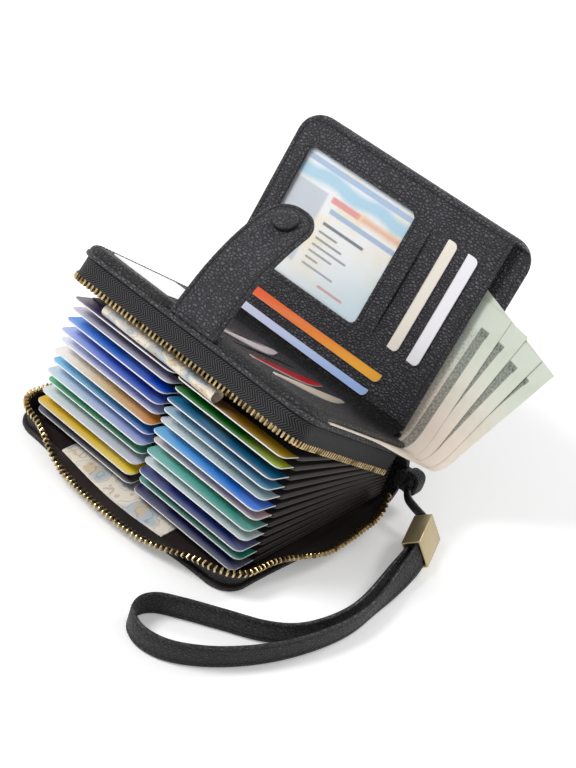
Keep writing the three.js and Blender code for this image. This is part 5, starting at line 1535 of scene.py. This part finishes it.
# %% Fanned notes
NOTE_CORNERS = ((65.6, -63.9, 3), (74.6, -62.2, 8), (84.4, -57.6, 13), (91.8, -55.2, 18))
NOTE_CUT = 6.0
for k, (x, y, angle) in enumerate(NOTE_CORNERS):
    sheet = note("flap_note_%d" % (k + 1), (-67, 0, 0, 105))
    sheet.data.transform(Matrix.Translation((x, y, 0)) @ Matrix.Rotation(math.radians(angle), 4, "Z"))
    for point, normal in (((0, -NOTE_CUT, 0), (0, 1, 0)), ((-56.5, 0, 0), (-1, 0, 0)), ((0, -89.5, 0), (0, -1, 0))):
        edit_all(sheet, lambda: bpy.ops.mesh.bisect(
            plane_co=point, plane_no=normal, clear_outer=True, clear_inner=False))
    co = points(sheet)
    free = np.clip((co[:, 0] - 56) / 30, 0, 1) * np.clip((-co[:, 1] - NOTE_CUT) / 16, 0, 1)
    co[:, 2] = 4.05 + k * 0.28 + free * (0.4 * np.sin(co[:, 1] / 13) - 0.9 * free * (3 - k) / 3)
    set_points(sheet, co)
    paper_thick(sheet)
    finish(sheet, FLAP, [PAPER], "flap", ["flap_notes"] if k == 0 else ())

# %% [markdown]
# Below the cut each note runs round the fold in a wide arc and on under the lid's pocket. The arc touches the flap's
# line and the lid's line. The right edge looks out past the lid, most at the fold.

# %% Notes round the fold
def map_rings(piece, around, spot):
    map_uv(piece, lambda v: spot(*divmod(v, around)))


UP_FLAP = np.array([-math.cos(math.radians(FLAP_OPEN)), math.sin(math.radians(FLAP_OPEN))])
NOTE_TURN = math.radians(180 - FLAP_OPEN)


def note_path(k):
    z_flap, z_lid = 4.05 + 0.28 * k, 1.94 - 0.13 * k
    fold = np.array([FLAP_FOLD_Y + UP_FLAP[1] * z_flap, FLAP_FOLD_Z - UP_FLAP[0] * z_flap])
    corner_run = (z_lid - fold[1]) / UP_FLAP[1]
    tangent = NOTE_CUT - corner_run
    radius = tangent / math.tan(NOTE_TURN / 2)
    start = (fold + UP_FLAP * corner_run)[0] - tangent
    flat_part = [(y, z_lid) for y in np.linspace(-86, start, 40)[:-1]]
    arc = [(start + radius * math.sin(a), z_lid + radius * (1 - math.cos(a))) for a in np.linspace(0, NOTE_TURN, 24)]
    tail = [tuple(fold + UP_FLAP * (NOTE_CUT + 0.02))]
    return np.array(flat_part + arc + tail), start


EDGE_RUNS, EDGE_SHARES = (-60, -42, -33, -22, -10, 0, 15), (0, 0.02, 0.16, 0.52, 0.7, 0.78, 1.0)
for k, (x, y, angle) in enumerate(NOTE_CORNERS):
    line, start = note_path(k)
    right_at_cut = x - (-NOTE_CUT - y) * math.tan(math.radians(angle))
    runs = run_along(line)
    beside = runs - np.interp(start, line[:40, 0], runs[:40])
    share = np.interp(beside / beside[-1] * 15 * (beside > 0) + beside * (beside <= 0), EDGE_RUNS, EDGE_SHARES)
    for _ in range(6):
        share[1:-1] = (share[:-2] + 2 * share[1:-1] + share[2:]) / 4
    right = 60.3 + (right_at_cut - 60.3) * share
    rings = [[(x, y, z) for x in np.linspace(22, r, 17)] for (y, z), r in zip(line, right)]
    sheet = loft("bent_note_%d" % (k + 1), rings, closed=False)
    map_rings(sheet, 17, lambda i, j: (1 - (right[i] - 22) * (1 - j / 16) / 67, 0.6 + (runs[-1] - runs[i]) / 105))
    paper_thick(sheet)
    finish(sheet, LID, [PAPER], None, ["lid_notes"] if k == 0 else (), 60)
    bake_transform(sheet)

# %% [markdown]
# One more note lies rolled up on the top row of cards. Its section is a flattened spiral, carried along a line across
# the cards.

# %% Rolled note
def spiral(turns, wide, tall, count):
    angle = np.linspace(0, 2 * math.pi * turns, count)
    shrink = 1 - 0.16 * angle / angle[-1]
    return np.column_stack([wide * shrink * np.cos(angle - 0.6), tall * shrink * np.sin(angle - 0.6)])


roll_from, roll_to = np.array([-40.0, -92.0, 4.4]), np.array([20.0, -94.0, 4.4])
rings = []
for share in np.linspace(0, 1, 31):
    bulge = 1 + 0.05 * math.sin(7 * share) + 0.05 * (2 * share - 1) ** 4
    at = roll_from + (roll_to - roll_from) * share
    rings.append([(at[0], at[1] + a * bulge, at[2] + b * bulge) for a, b in spiral(1.35, 3.7, 2.75, 64)])
rolled = loft("rolled_note", rings, closed=False)
map_rings(rolled, 64, lambda i, j: (0.82 + 0.4 * abs(j / 63 - 0.35), 0.5 + 0.6 * i / 30))
paper_thick(rolled, 0.16)
finish(rolled, ROWS[11], [FOLDED], "row_12", angle=60)
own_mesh(rolled)

# %% [markdown]
# A folded note lies flat on the base, just inside the zip, partly under the lowest cards. Its section is a long flat
# loop, open at the back, and follows the curve of the mouth.

# %% Note on the base
rings = []
for x in np.linspace(-33, 24, 39):
    front = -98.6 - BOW_FRONT * swell(np.array([x + HALF_FRONT]), 2 * HALF_FRONT)[0]
    lift = 0.12 * math.sin(x / 6)
    rings.append([(x, y, z) for y, z in (
        (-84.4, 2.95), (-88, 3.0 + lift), (-92, 3.05 + lift), (-96, 3.1 + lift), (front + 1.2, 3.1 + lift),
        (front + 0.4, 3.06), (front + 0.08, 2.9), (front, 2.78), (front + 0.08, 2.66), (front + 0.4, 2.54),
        (front + 1.2, 2.52), (-92, 2.52), (-84.4, 2.52))])
flat_note = loft("base_note", rings, closed=False)
map_rings(flat_note, 13, lambda i, j: (min(0.99, 0.80 + 0.19 * j / 6), 0.35 + 0.6 * i / 38))
paper_thick(flat_note, 0.12)
finish(flat_note, BASE, [FOLDED], "base", angle=60)
